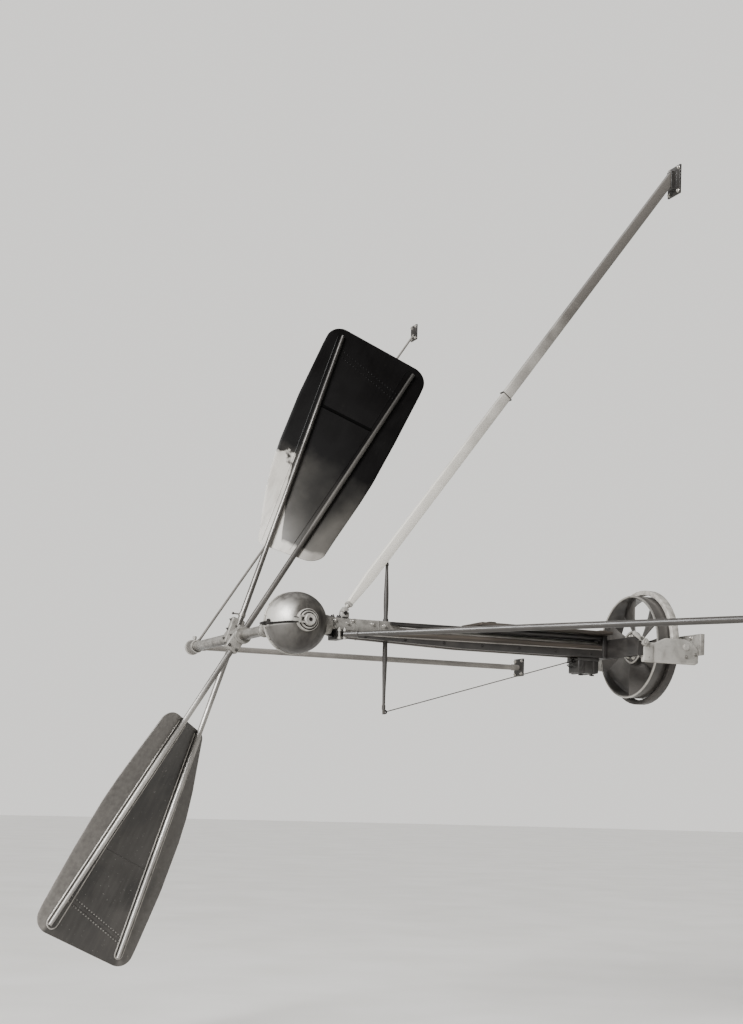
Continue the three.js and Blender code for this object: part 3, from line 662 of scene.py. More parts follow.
def hoop_finish():
    """Galvanised steel round the wheel: pale above, and dark in its lower half, a painted shade."""
    finish, tree, shader = new_finish("galvanised_steel_painted_shade", Metallic=0.3)
    mottle = blotches(tree, 30, NOISE_LOW, NOISE_HIGH, detail=5)
    height = along(tree, ORIGIN, Z_AXIS, ragged_mm=90, swing=0.06)
    # Painted shade: the lower half is darkened.
    below = add(tree, "MapRange", {
        "Value": height, "From Min": -0.10, "From Max": 0.06, "To Min": 1, "To Max": 0})
    clean = layered(tree, "#c2beb7", (mottle, "#918d86"))
    painted_shade_tone = layered(tree, "#2d2a28", (mottle, "#423e3b"))
    rough = add(tree, "MapRange", {"Value": mottle, "To Min": 0.36, "To Max": 0.52})
    complete(tree, shader, layered(tree, clean, (below, painted_shade_tone)), rough)
    return finish


arm_tube, shaft_steel, pale_hoop = arm_finish(), shaft_finish(), hoop_finish()
print("finishes", arm_tube.name, shaft_steel.name, pale_hoop.name)

# %% [markdown]
# ## The gear case's metal
# The case is spun from sheet metal, dull and streaked with oil, with a painted reflection on its outboard
# side above the oil pipe, so it is bright there and ends sharply at the pipe, and painted shade towards its
# bottom.
# The bright patch is the product of three limits: far enough outboard, above the pipe, and below the crown.

# %% Gear case metal
def case_finish():
    """Spun case metal: a painted reflection on its outboard side above the oil pipe, streaked with oil
    elsewhere, and painted shade low down.
    """
    finish, tree, shader = new_finish("case_metal_painted_sheen_and_shade", Metallic=0.45)
    # Painted reflection: a bright patch outboard, above the pipe and below the crown.
    side = along(tree, CASE, X_AXIS, ragged_mm=60, swing=0.025)
    outboard = add(tree, "MapRange", {"Value": side, "From Min": 0.025, "From Max": 0.11})
    over_pipe = along(tree, CASE, (0.11, 0, 1))
    above = add(tree, "MapRange", {"Value": over_pipe, "From Min": -0.014, "From Max": 0.002, "To Min": 0.12})
    height = along(tree, CASE, Z_AXIS, ragged_mm=60, swing=0.025)
    crown = add(tree, "MapRange", {
        "Value": height, "From Min": 0.06, "From Max": 0.14, "To Min": 1, "To Max": 0})
    both = add(tree, "Math", {"operation": "MULTIPLY", 0: outboard, 1: above})
    painted_sheen = add(tree, "Math", {"operation": "MULTIPLY", 0: both, 1: crown})
    streaks = blotches(tree, 24, 0.4, 0.7, stretch=(1, 1, 0.15))
    # Painted shade: darker towards the bottom.
    lower = along(tree, CASE, (-0.3, 0, 0.95))
    below = add(tree, "MapRange", {
        "Value": lower, "From Min": -0.12, "From Max": 0.02, "To Min": 0.9, "To Max": 0.1})
    rough = add(tree, "MapRange", {"Value": streaks, "To Min": 0.42, "To Max": 0.52})
    colour = layered(tree, "#5f5c57", (streaks, "#403d3a"), (below, "#33302e"), (painted_sheen, "#cfccc6"))
    complete(tree, shader, colour, rough)
    return finish


case_metal = case_finish()
print("finish", case_metal.name)

# %% [markdown]
# ## Ash and oak
# The strut is planed ash, pale below and darker above with painted shade; the beam is old oak, nearly black
# with oil. Timber's grain runs one way, so the noise is drawn out thirty times along the piece and turned
# into line with it, and a second, broader noise sets plank apart from plank. A wood texture would show
# rings that planing hides.

# %% Ash and oak
def grained_timber(name, pale, dark, lean, roughness, ring_mm, detail, depth_mm=0.0, painted_shade_above=None):
    """Planed timber with its grain along X, turned by lean about Y. painted_shade_above is the height where
    the painted shade begins, the height where it is full, how much it covers, and its tone."""
    finish, tree, shader = new_finish(name)
    turn = (0, lean, 0)
    grain = pattern(tree, ring_mm, (0.03, 1, 1), turn, detail, 0.3)
    lines = add(tree, "MapRange", {"Value": grain, "From Min": 0.35, "From Max": 0.7})
    planks = blotches(tree, 160, 0.4, 0.65, 0.6, stretch=(0.25, 1, 1), turn=turn, detail=2)
    colour = layered(tree, pale, (lines, dark), (planks, dark))
    if painted_shade_above:
        start, full, cover, grey = painted_shade_above
        # Painted shade: the strut grows darker towards the top.
        height = along(tree, ORIGIN, Z_AXIS, ragged_mm=120, swing=0.15)
        painted_shade_share = {"Value": height, "From Min": start, "From Max": full, "To Max": cover}
        colour = layered(tree, colour, (add(tree, "MapRange", painted_shade_share), grey))
    limits = {"From Min": NOISE_LOW, "From Max": NOISE_HIGH, "To Min": roughness, "To Max": roughness + 0.15}
    complete(tree, shader, colour, add(tree, "MapRange", {**limits, "Value": grain}), grain, depth_mm)
    return finish


strut_rise = STRUT_HEAD - STRUT_FOOT
strut_ash = grained_timber("planed_ash", "#d8d4cc", "#c9c5bc", math.atan2(-strut_rise.z, strut_rise.x),
                           roughness=0.5, ring_mm=36, detail=2, painted_shade_above=(0.7, 1.9, 0.95, "#524e4a"))
beam_oak = grained_timber("oiled_oak", "#4a433c", "#26221e", 0,
                          roughness=0.42, ring_mm=9, detail=6, depth_mm=0.2)
print("finishes", len(bpy.data.materials))

# %% [markdown]
# ## Floor and surround
# The light on the real thing is soft: even, brightest from outboard, and thrown back from below. A wide
# pale floor and a surround that is bright at eye level, dim overhead and dark on the inboard side give the
# same in a studio. The camera itself sees an even pale backdrop, so nothing competes with the thin tubes.

# %% Floor and surround
FLOOR_Z, FLOOR_RADIUS = -2.36, 70
BACKDROP_STRENGTH, SURROUND_STRENGTH = 1.35, 0.48
INBOARD = (-0.985, 0.17, 0.0)
clear_selection()
bpy.ops.mesh.primitive_circle_add(vertices=96, radius=FLOOR_RADIUS, fill_type="NGON",
                                  location=(1.2, -0.8, FLOOR_Z))
floor = settled(bpy.context.object, "studio_floor")
floor_finish, floor_tree, floor_shader = new_finish("pale_studio_floor", Roughness=0.85)
trodden = blotches(floor_tree, 900, NOISE_LOW, NOISE_HIGH, detail=3)
floor_tone = layered(floor_tree, "#f2f0ec", (trodden, "#e9e7e2"))
floor_tree.links.new(floor_tone, floor_shader.inputs["Base Color"])
floor.data.materials.append(floor_finish)

world = bpy.data.worlds.new("studio_surround")
bpy.context.scene.world = world
world.use_nodes = True
sky = world.node_tree
way = add(sky, "TexCoord", {}, "Generated")
inboard = add(sky, "VectorMath", {"operation": "DOT_PRODUCT", 0: way, 1: INBOARD}, "Value")
height = add(sky, "SeparateXYZ", {0: way}, 2)
inboard_dim = add(sky, "MapRange", {"Value": inboard, "From Min": 0.35, "From Max": 0.85, "To Max": 0.85})
overhead_dim = add(sky, "MapRange", {"Value": height, "From Min": 0.12, "From Max": 0.6, "To Max": 0.8})
dim = add(sky, "Math", {"operation": "MAXIMUM", 0: inboard_dim, 1: overhead_dim})
surround = sky.nodes["Background"]
sky.links.new(layered(sky, "#eeece8", (dim, "#33312f")), surround.inputs["Color"])
surround.inputs["Strength"].default_value = SURROUND_STRENGTH
backdrop = add(sky, "Background", {"Color": "#eeece8", "Strength": BACKDROP_STRENGTH})
seen = add(sky, "LightPath", {}, "Is Camera Ray")
either = add(sky, "MixShader", {0: seen, 1: surround.outputs[0], 2: backdrop})
sky.links.new(either, sky.nodes["World Output"].inputs["Surface"])
print("floor at", FLOOR_Z, "surround", SURROUND_STRENGTH)

# %% [markdown]
# ## Sun and panels
# Tubes and castings are bright along their outboard edge and dark along the other, so a hazy sun stands
# high on the outboard side. Three large panels soften it: one outboard, one in front and one above. A small
# lamp would give hard shadows that the picture doesn't have.

# %% Sun and panels
SUN_STRENGTH, SUN_HAZE_DEGREES = 6.2, 26
SUN_FROM = Vector((0.75, 0.45, 0.50))
PANELS = [
    # name, place, aimed at, width, height, power
    ("outboard_panel", (8.0, 1.0, 3.0), (1.6, -0.8, 0.2), 4.0, 4.0, 160),
    ("forward_fill", (4.5, 8.5, 3.5), (1.2, -0.5, 0.0), 4.0, 3.0, 40),
    ("top_panel", (1.0, -3.0, 6.5), (1.2, -0.8, 0.0), 5.0, 5.0, 120),
]
clear_selection()
bpy.ops.object.light_add(type="SUN")
sun = bpy.context.object
sun.name = "hazy_sun"
sun.data.energy = SUN_STRENGTH
sun.data.angle = math.radians(SUN_HAZE_DEGREES)
sun.rotation_euler = SUN_FROM.to_track_quat("Z", "Y").to_euler()
for name, place, target, width, height, power in PANELS:
    bpy.ops.object.light_add(type="AREA", location=place)
    panel = bpy.context.object
    panel.name = name
    panel.data.shape = "RECTANGLE"
    panel.data.size, panel.data.size_y = width, height
    panel.data.energy = power
    panel.rotation_euler = (Vector(target) - Vector(place)).to_track_quat("-Z", "Y").to_euler()
print("lights", len(PANELS) + 1)

# %% [markdown]
# ## The blades
# A blade is one thin sheet, narrow and rounded at the root and broad at the tip. It could be cut from the
# CAD solid, but a grid gives even faces that shade smoothly, so a grid is added at the blade's size, each
# row is moved to the screw line of its own radius, and Solidify gives the sheet its thickness.

# %% Blade sheets
BLADES = [
    # name, turn from the upper blade, finish of sheet, seams, ridge and rivets, radius of seams and ridge
    ("upper", 0.0, upper_varnish, upper_varnish, ridge_painted_shade, upper_varnish, 0.0024, 0.0095),
    ("lower", math.pi, lower_varnish, rubbed_seam, lower_varnish, dull_seam, 0.0038, 0.0024),
]
ROWS, COLUMNS = 80, 32
TIP_ROUND = 0.09
ROOT_ROUND_MINUS, ROOT_ROUND_PLUS = 0.080, 0.030
# The shares of the rows that the rounded corners of the root and the tip take.
ROOT_SHARE, TIP_SHARE = 0.15, 0.13
# The dressed sheet lies a hair inside the solid's edge, so that it never reaches past it.
EDGE_EASE = 0.0006


def corner_inset(distance, radius):
    """How far a rounded corner draws the edge in."""
    reach = min(max(distance, 0), radius)
    return radius - math.sqrt(radius ** 2 - reach ** 2)


def blade_station(row):
    """The radius of a row; the rows crowd together at the rounded corners."""
    share = row / ROWS
    if share < ROOT_SHARE:
        return BLADE_ROOT + ROOT_ROUND_MINUS * (1 - math.cos(share / ROOT_SHARE * math.pi / 2))
    if share > 1 - TIP_SHARE:
        return BLADE_TIP - TIP_ROUND * (1 - math.sin((share - 1 + TIP_SHARE) / TIP_SHARE * math.pi / 2))
    straight = BLADE_TIP - TIP_ROUND - BLADE_ROOT - ROOT_ROUND_MINUS
    return BLADE_ROOT + ROOT_ROUND_MINUS + straight * (share - ROOT_SHARE) / (1 - ROOT_SHARE - TIP_SHARE)


for name, half_turn, varnish, *_ in BLADES:
    clear_selection()
    bpy.ops.mesh.primitive_grid_add(x_subdivisions=COLUMNS, y_subdivisions=ROWS, size=2)
    sheet = bpy.context.object
    for vertex in sheet.data.vertices:
        r = blade_station(round((vertex.co.y + 1) / 2 * ROWS))
        root_round = ROOT_ROUND_MINUS if vertex.co.x < 0 else ROOT_ROUND_PLUS
        inset = corner_inset(r - (BLADE_TIP - TIP_ROUND), TIP_ROUND)
        inset += corner_inset(BLADE_ROOT + root_round - r, root_round)
        reach = BLADE_ROOT + (r - BLADE_ROOT) * (1 - EDGE_EASE / (BLADE_TIP - BLADE_ROOT))
        vertex.co = screw_point(vertex.co.x * (half_width(r, vertex.co.x) - inset - EDGE_EASE), reach)
    recalculated(sheet)
    applied(sheet, "SOLIDIFY", thickness=BLADE_THICKNESS, offset=0)
    softened(sheet, 0.0015, degrees=60)
    sheet.matrix_world = blade_matrix(half_turn)
    settled(sheet, f"blade_sheet_{name}")
    dressed(sheet, "propeller", varnish, [f"blade_{name}"])

# %% [markdown]
# ## Lines on the blades
# Beside each tube runs a raised seam that turns round the tube's end. One ridge crosses the blade between
# the tubes, and nearer the tip a flat rib with two rows of rivets does, a little askew. They could be cut
# into the sheet, but on the real blade they stand on it, so each line is worked out on the sheet's face
# first.

# %% Where the lines run
SEAM_START, SEAM_END, SEAM_WIDENS_AT = 0.605, 1.92, 1.40
SEAM_GAP, SEAM_WIDE_GAP = 0.012, 0.030
SEAM_STEPS, SEAM_END_STEPS = 40, 8
SEAM_END_STRETCH = 1.2


def on_face(points):
    """Points of the blade's face from [(across, distance from the shaft), ...]."""
    return [screw_point(across, r, BLADE_THICKNESS / 2) for across, r in points]


def seam_line(sign):
    """The line of a seam down one side of a tube, round its end and back up the other side."""
    last_gap = SEAM_GAP if sign > 0 else SEAM_WIDE_GAP
    end_radius = arm_radius(SEAM_END) + (SEAM_GAP + last_gap) / 2
    end_middle = sign * SEAM_END * TUBE_SLOPE + (last_gap - SEAM_GAP) / 2
    stations = [SEAM_START + (SEAM_END - SEAM_START) * i / SEAM_STEPS for i in range(SEAM_STEPS + 1)]
    points = [(sign * r * TUBE_SLOPE - arm_radius(r) - SEAM_GAP, r) for r in stations]
    for i in range(1, SEAM_END_STEPS):
        angle = math.pi * i / SEAM_END_STEPS
        r = SEAM_END + end_radius * math.sin(angle) * SEAM_END_STRETCH
        points.append((end_middle - end_radius * math.cos(angle), r))
    for r in reversed(stations):
        widened = min(max((r - SEAM_WIDENS_AT) / (SEAM_END - SEAM_WIDENS_AT), 0), 1)
        gap = SEAM_GAP + (last_gap - SEAM_GAP) * widened
        points.append((sign * r * TUBE_SLOPE + arm_radius(r) + gap, r))
    return points


def crossing(reach_at, slope, steps=24, offset=0.0):
    """A line from the one seam to the other, at a reach that may run askew, moved out by an offset."""
    half = reach_at * TUBE_SLOPE - arm_radius(reach_at) - SEAM_GAP
    places = [-half + 2 * half * i / steps for i in range(steps + 1)]
    return [(across, reach_at + slope * across + offset) for across in places]


print("points in a seam", len(seam_line(1)))

# %% [markdown]
# ## Seams, ridges, ribs and rivets
# Seams, ridges and ribs are beads of wire laid along those lines. A rivet is turned once, low and domed,
# and copied along the rib, each copy standing square on the twisted sheet.

# %% Seams, ridges, ribs and rivets
RIDGE_AT = {"upper": 1.50, "lower": 1.43}
RIB_AT, RIB_SLOPE = 1.805, 0.21
RIB_HALF_WIDTH, RIB_EDGE_RADIUS = 0.011, 0.0026
RIVET_ROW, RIVET_STEPS = 0.019, 20


def rivet():
    """A low domed rivet head, made on +Z at the origin."""
    return turned("rivet", ORIGIN, Z_AXIS, [(-0.001, 0.0045), (0.0012, 0.0042), (0.0026, 0.0022)], sides=8)


def on_blade(piece, half_turn, finish):
    """Carries a piece from the blade's own frame to its place and dresses it."""
    piece.data.transform(blade_matrix(half_turn))
    dressed(piece, "propeller", finish)


for name, half_turn, varnish, seam_finish, ridge_finish, rivet_finish, seam_radius, ridge_radius in BLADES:
    seams = [wire("seam", on_face(seam_line(sign)), seam_radius) for sign in (-1, 1)]
    on_blade(joined(f"blade_seams_{name}", seams), half_turn, seam_finish)
    ridge = wire(f"blade_ridge_{name}", on_face(crossing(RIDGE_AT[name], 0)), ridge_radius, 12)
    on_blade(ridge, half_turn, ridge_finish)
    ribs = []
    for offset in (-RIB_HALF_WIDTH, RIB_HALF_WIDTH):
        ribs.append(wire("rib_edge", on_face(crossing(RIB_AT, RIB_SLOPE, offset=offset)), RIB_EDGE_RADIUS))
    on_blade(joined(f"blade_ribs_{name}", ribs), half_turn, varnish)
    places = []
    for offset in (-RIVET_ROW, RIVET_ROW):
        for across, r in crossing(RIB_AT + offset, RIB_SLOPE, RIVET_STEPS):
            square = screw_point(across, r, 1) - screw_point(across, r, 0)
            places.append((screw_point(across, r, BLADE_THICKNESS / 2), square))
    on_blade(repeated(f"blade_rivets_{name}", rivet(), places), half_turn, rivet_finish)

# %% [markdown]
# ## The hub sleeve
# The crossed tubes pass through a short sleeve on the shaft, which is lathe work with a collar at each end.
# So it is one ring extruded along the shaft, with a small chamfer at every collar to catch the light.

# %% Hub sleeve
SLEEVE_HALF = 0.105
SLEEVE_STEPS = [
    # distance in from the sleeve's end, radius
    (0, 0.036), (0, 0.047), (0.003, 0.050), (0.016, 0.050), (0.018, 0.044),
]
sleeve_stations = [(-SLEEVE_HALF + step, radius) for step, radius in SLEEVE_STEPS]
sleeve_stations += [(SLEEVE_HALF - step, radius) for step, radius in reversed(SLEEVE_STEPS)]
sleeve = turned("hub_sleeve", HUB, Y_AXIS, sleeve_stations)
dressed(sleeve, "propeller", weathered_cast, ["hub_block"])

# %% [markdown]
# ## Clamps on the arm tubes
# A bolted clamp of cast metal holds each tube to the sleeve. It is a block with rounded edges and a raised
# cheek, with a dark round window where the tube shows. It is made in its tube's own frame, so that it
# follows the tube's lean, and the rear one is the front one turned end for end.

# %% Arm clamps
CLAMP_BOLTS = [
    # place and direction in the arm's frame, for the front clamp
    ((0.050, 0.008, -0.092), X_AXIS), ((0.050, 0.008, -0.034), X_AXIS), ((0.050, 0.008, 0.026), X_AXIS),
    ((-0.016, 0.030, -0.092), Y_AXIS), ((-0.016, 0.030, 0.026), Y_AXIS), ((0.034, 0.030, -0.090), Y_AXIS),
]


def bolt(head, height, washer, stub=0.004):
    """A hexagon bolt head on a washer, with its end showing, made on +Z at the origin."""
    disc = [(-0.002, washer), (0.0016, washer), (0.002, washer * 0.96)]
    flat = turned("washer", ORIGIN, Z_AXIS, disc, sides=20)
    corners = [(0.001, head), (height, head), (height + 0.0015, head * 0.86)]
    hexagon = turned("hexagon", ORIGIN, Z_AXIS, corners, sides=6)
    tip = [(0.001, head * 0.5), (height + stub, head * 0.5), (height + stub + 0.001, head * 0.36)]
    return joined("bolt", [flat, hexagon, turned("end", ORIGIN, Z_AXIS, tip, sides=12)])


def arm_frame(angle, offset):
    """The frame of an arm tube: X across it, Y along the shaft and Z along the tube."""
    across = Vector((math.cos(angle), 0, math.sin(angle)))
    line = Vector((-math.sin(angle), 0, math.cos(angle)))
    turning = Matrix((across, Y_AXIS, line)).transposed().to_4x4()
    return Matrix.Translation(HUB + Vector((0, offset, 0))) @ turning


front_arm = arm_frame(ARM_MID + ARM_HALF, ARM_STAGGER / 2)
rear_arm = arm_frame(ARM_MID - ARM_HALF, -ARM_STAGGER / 2)
for name, place in (("front", front_arm), ("rear", rear_arm @ Matrix.Rotation(math.pi, 4, "X"))):
    body = eased_block("body", (-0.030, -0.014, -0.112), (0.050, 0.030, 0.045), 0.009, segments=3)
    cheek = eased_block("cheek", (-0.034, -0.010, -0.040), (0.020, 0.040, -0.004), 0.006, segments=3)
    clamp = joined(f"arm_clamp_{name}", [body, cheek])
    window = turned(f"clamp_window_{name}", (0.034, 0.030, 0.0), Y_AXIS,
                    [(-0.002, 0.0135), (0.0025, 0.0135), (0.0035, 0.012)], 32)
    bolts = repeated(f"clamp_bolts_{name}", bolt(0.0065, 0.006, 0.0095, 0.006), CLAMP_BOLTS)
    for piece in (clamp, window, bolts):
        piece.data.transform(place)
    dressed(clamp, "propeller", weathered_cast)
    dressed(window, "propeller", black_iron)
    dressed(bolts, "propeller", dark_varnish)

# %% [markdown]
# ## The pin beside the rear tube
# A locking pin with a dark knob stands out beside the rear tube, held by a band round the tube. Pin, band
# and knob are short rods and one turned ring.

# %% Locking pin
pin_start = rear_arm @ Vector((0.012, 0, 0.142))
knob_middle = pin_start + Vector((0.044, 0, 0))
pin = rod("pin", pin_start, pin_start + Vector((0.052, 0, 0.002)), 0.0045, sides=16)
band_foot, arm_line = rear_arm @ Vector((0, 0, 0.130)), rear_arm.to_3x3() @ Z_AXIS
band = turned("band", band_foot, arm_line, [(0, 0.0205), (0.020, 0.0205)], 32)
dressed(joined("arm_pin", [pin, band]), "propeller", oiled_tube)
knob = rod("arm_pin_knob", knob_middle - 0.004 * Z_AXIS, knob_middle + 0.010 * Z_AXIS, 0.0065, 0.0045, 16)
dressed(knob, "propeller", black_iron)

# %% [markdown]
# ## The gear case
# The bevel gears run inside a ball of two spun halves that meet at a joint behind its middle. A fine sphere
# gives the shell. Then flat seats are faced on it for the nose cap and for the collars of the shafts, as a
# lathe would face them, by pressing the vertices beyond each seat flat, and the shell is drawn in a little
# under the joint.

# %% Gear case
JOINT_Y, JOINT_HALF_WIDTH = -0.045, 0.006
JOINT_DRAWN_IN = 0.985
SEATS = [
    # outward direction of a seat, and how far from the middle it is faced
    (Y_AXIS, 0.1476), (-Y_AXIS, 0.1510), (-X_AXIS, 0.1480),
]


def pick(piece, test):
    """Selects in edit mode the vertices whose place passes a test."""
    only(piece)
    bpy.ops.object.mode_set(mode="EDIT")
    bpy.ops.mesh.select_mode(type="VERT")
    bpy.ops.mesh.select_all(action="DESELECT")
    bpy.ops.object.mode_set(mode="OBJECT")
    for vertex in piece.data.vertices:
        vertex.select = test(vertex.co)
    bpy.ops.object.mode_set(mode="EDIT")


clear_selection()
bpy.ops.mesh.primitive_uv_sphere_add(segments=96, ring_count=48, radius=CASE_RADIUS, location=CASE,
                                     rotation=(math.pi / 2, 0, 0))
ball = settled(bpy.context.object, "gear_case_ball")
for outward, depth in SEATS:
    pick(ball, lambda place: (place - CASE).dot(outward) > depth)
    pressed = tuple(0 if part else 1 for part in outward)
    bpy.ops.transform.resize(value=pressed, center_override=CASE + outward * depth)
    bpy.ops.object.mode_set(mode="OBJECT")
pick(ball, lambda place: abs(place.y - JOINT_Y) < JOINT_HALF_WIDTH)
bpy.ops.transform.resize(value=(JOINT_DRAWN_IN, 1, JOINT_DRAWN_IN), center_override=CASE)
recalculated(ball)
dressed(ball, "outrigger", case_metal, ["gear_case"], smooth=24)

# %% [markdown]
# ## The case's joint
# The two halves of the case are held by a thin bolted ring. Its section is carried round the case as a
# closed lathe ring, and one small bolt is copied sixteen times round it.

# %% Case joint
joint_inner = math.sqrt(CASE_RADIUS ** 2 - JOINT_Y ** 2) - 0.004
JOINT_SECTION = [
    # distance along the shaft, height over the ring's inner radius
    (0, 0), (0, 0.012), (0.002, 0.014), (0.010, 0.014), (0.012, 0.012), (0.012, 0), (0, 0),
]
joint_back = CASE + Vector((0, JOINT_Y - JOINT_HALF_WIDTH, 0))
joint_stations = [(step, joint_inner + height) for step, height in JOINT_SECTION]
joint_ring = turned("gear_case_joint", joint_back, Y_AXIS, joint_stations, 96, closed=True)
dressed(joint_ring, "outrigger", cast_aluminium)
joint_face = CASE + Vector((0, JOINT_Y + JOINT_HALF_WIDTH, 0))
joint_bolts = ring_places(16, joint_face, Y_AXIS, joint_inner + 0.009, start=math.pi / 16)
joint_bolts = repeated("gear_case_joint_bolts", bolt(0.004, 0.003, 0.005, 0.002), joint_bolts)
dressed(joint_bolts, "outrigger", turned_steel)

# %% [markdown]
# ## The nose cap
# The front of the case carries a cap of stepped rings with a hole in its middle. It is lathe work, so it is
# one ring extruded from step to step. Thin black rings on the steps and a black disc in the hole are
# painted shade in the grooves, which shows more cleanly than a dark patch in the finish would.

# %% Nose cap
NOSE_STEPS = [
    # distance from the case's middle, radius
    (0.146, 0.050), (0.146, 0.0585), (0.170, 0.0585), (0.174, 0.056), (0.175, 0.054), (0.172, 0.052),
    (0.172, 0.047), (0.184, 0.0455), (0.186, 0.043), (0.183, 0.038), (0.182, 0.033), (0.200, 0.0295),
    (0.204, 0.026), (0.2035, 0.020), (0.201, 0.014), (0.201, 0.009), (0.186, 0.0085), (0.186, 0.002),
]
GROOVES = [
    # distance from the case's middle, inner and outer radius
    (0.1728, 0.0462, 0.0526), (0.1835, 0.0315, 0.0385), (0.2015, 0.0020, 0.0098),
]
SHADE_RING_DEPTH = 0.0014
nose = turned("nose_rings", CASE, Y_AXIS, NOSE_STEPS, sides=72)
dressed(nose, "outrigger", cast_aluminium, ["nose_cap"], smooth=30)
# Painted shade: thin black rings in the grooves and a black disc in the centre hole.
grooves = []
for y, inner, outer in GROOVES:
    grooves.append(flat_ring("groove", CASE + y * Y_AXIS, Y_AXIS, (0, SHADE_RING_DEPTH), (inner, outer), 64))
grooves.append(turned("centre_hole", CASE + 0.2005 * Y_AXIS, Y_AXIS, [(0, 0.009), (0.0016, 0.009)], 32))
dressed(joined("nose_grooves", grooves), "outrigger", black_iron)

# %% [markdown]
# ## The oil pipe
# A dark pipe feeds oil to the case: a pale fork grips the nose, the pipe runs outboard past the ball to an
# elbow, and turns back to a union on the case's side. A pipe is best drawn as a line with thickness, so it
# is a curve turned into a mesh; its fork, elbow and union are small blocks and lathe work.

# %% Oil pipe
PIPE_RADIUS = 0.0062
PIPE_ROUTE = [
    # from the case's middle: out from the fork, round the elbow, and back to the union
    (0.070, 0.188, -0.015), (0.130, 0.187, -0.021), (0.236, 0.178, -0.036), (0.244, 0.172, -0.037),
    (0.247, 0.158, -0.036), (0.232, 0.090, -0.027), (0.200, 0.050, -0.016), (0.158, 0.028, -0.006),
]
nut_start, nut_end = CASE + Vector((0.198, 0.181, -0.031)), CASE + Vector((0.218, 0.179, -0.0335))
union = turned("union", CASE + Vector((0.157, 0.026, -0.006)), (1, 0.12, 0),
               [(-0.004, 0.014), (0.014, 0.014), (0.016, 0.010)], 6)
pipe_pieces = [
    wire("pipe", [CASE + Vector(place) for place in PIPE_ROUTE], PIPE_RADIUS, 12),
    eased_block("elbow", (0.230, 0.162, -0.045), (0.254, 0.182, -0.027), 0.004, CASE),
    rod("elbow_nut", nut_start, nut_end, 0.0078, sides=6),
    # A dark plate behind the fork's stem is a painted shadow, giving the stem its dark edges.
    eased_block("fork_painted_shadow", (0.058, 0.180, -0.0205), (0.086, 0.187, 0.0105), 0.002, CASE),
    union,
]
dressed(joined("oil_pipe_run", pipe_pieces), "outrigger", black_iron, ["oil_pipe"])
fork_pieces = [
    eased_block("lower_tine", (0.020, 0.186, -0.0195), (0.062, 0.198, -0.0105), 0.002, CASE),
    eased_block("upper_tine", (0.020, 0.186, 0.0105), (0.062, 0.198, 0.0195), 0.002, CASE),
    eased_block("fork", (0.048, 0.184, -0.0195), (0.060, 0.199, 0.0195), 0.003, CASE),
    eased_block("fork_stem", (0.056, 0.186, -0.0140), (0.092, 0.197, 0.0040), 0.003, CASE),
]
dressed(joined("nose_fork", fork_pieces), "outrigger", cast_aluminium)

# %% [markdown]
# ## The shaft coupling
# Between the case and the hub the propeller shaft is made in two lengths, held by a pair of bolted flanges.
# Two turned flanges with a ring of bolts show it, and a thin dark ring between them is the joint.

# %% Shaft coupling
COUPLING = Vector((CASE.x, -0.462, 0))
FLANGE_STEPS = [
    # distance from the joint, radius
    (0.036, 0.030), (0.036, 0.0335), (0.014, 0.0345), (0.012, 0.0385), (0.010, 0.040), (0.0025, 0.040),
    (0.0015, 0.036),
]
flanges = [(-step, radius) for step, radius in FLANGE_STEPS] + list(reversed(FLANGE_STEPS))
dressed(turned("shaft_coupling", COUPLING, Y_AXIS, flanges, 56), "propeller", weathered_cast)
joint = flat_ring("coupling_joint", COUPLING, Y_AXIS, (-0.0015, 0.0015), (0.034, 0.0402), 56)
dressed(joint, "propeller", black_iron)
coupling_bolts = ring_places(6, COUPLING + 0.0115 * Y_AXIS, Y_AXIS, 0.0365, start=math.pi / 12)
coupling_bolts = repeated("coupling_bolts", bolt(0.0028, 0.0025, 0.0033, 0.0015), coupling_bolts)
dressed(coupling_bolts, "propeller", turned_steel)

# %% [markdown]
# ## Bolts and web on the neck
# The neck casting is held by bolts through its sides and studs on its top, and a dark web steadies it
# underneath. The bolts are one pattern copied to a list of places, and the web is a block whose lower outer
# corner is drawn back.

# %% Neck fittings
NECK_SIDE, NECK_TOP = 0.0242, 0.0405
NECK_BOLTS = [
    # distance out from the bolted face, height
    (2.158, 0.015), (2.118, 0.026), (2.046, 0.013), (2.018, 0.028), (1.90, 0.018), (1.83, 0.012),
    (2.118, -0.012),
]
neck_places = [((x, side * NECK_SIDE, z), side * Y_AXIS) for x, z in NECK_BOLTS for side in (1, -1)]
neck_bolts = repeated("neck_bolts", bolt(0.0075, 0.006, 0.0115), neck_places)
dressed(neck_bolts, "outrigger", turned_steel)
top_places = [((x, y, NECK_TOP), Z_AXIS) for x in (2.125, 2.090) for y in (-0.012, 0.012)]
top_studs = repeated("neck_top_studs", bolt(0.0075, 0.009, 0.0110, 0.007), top_places)
dressed(top_studs, "outrigger", black_iron)
web = block("neck_web", (2.124, -0.012, -0.0640), (2.196, 0.012, -0.0215))
pick(web, lambda place: place.x > 2.19 and place.z < -0.03)
bpy.ops.transform.translate(value=(-0.022, 0, 0.014))
bpy.ops.object.mode_set(mode="OBJECT")
dressed(softened(web, 0.003), "outrigger", black_iron)

# %% [markdown]
# ## Clamp studs, lips and the strut's pin
# Two bright studs with nuts stand through the clamp under the neck's middle. Two raised lips run round the
# neck. On top, the strut's lug is held by a pin with hexagon heads between two small feet. The lips are
# thin eased blocks, and the rest are rods, six-sided where a spanner goes.

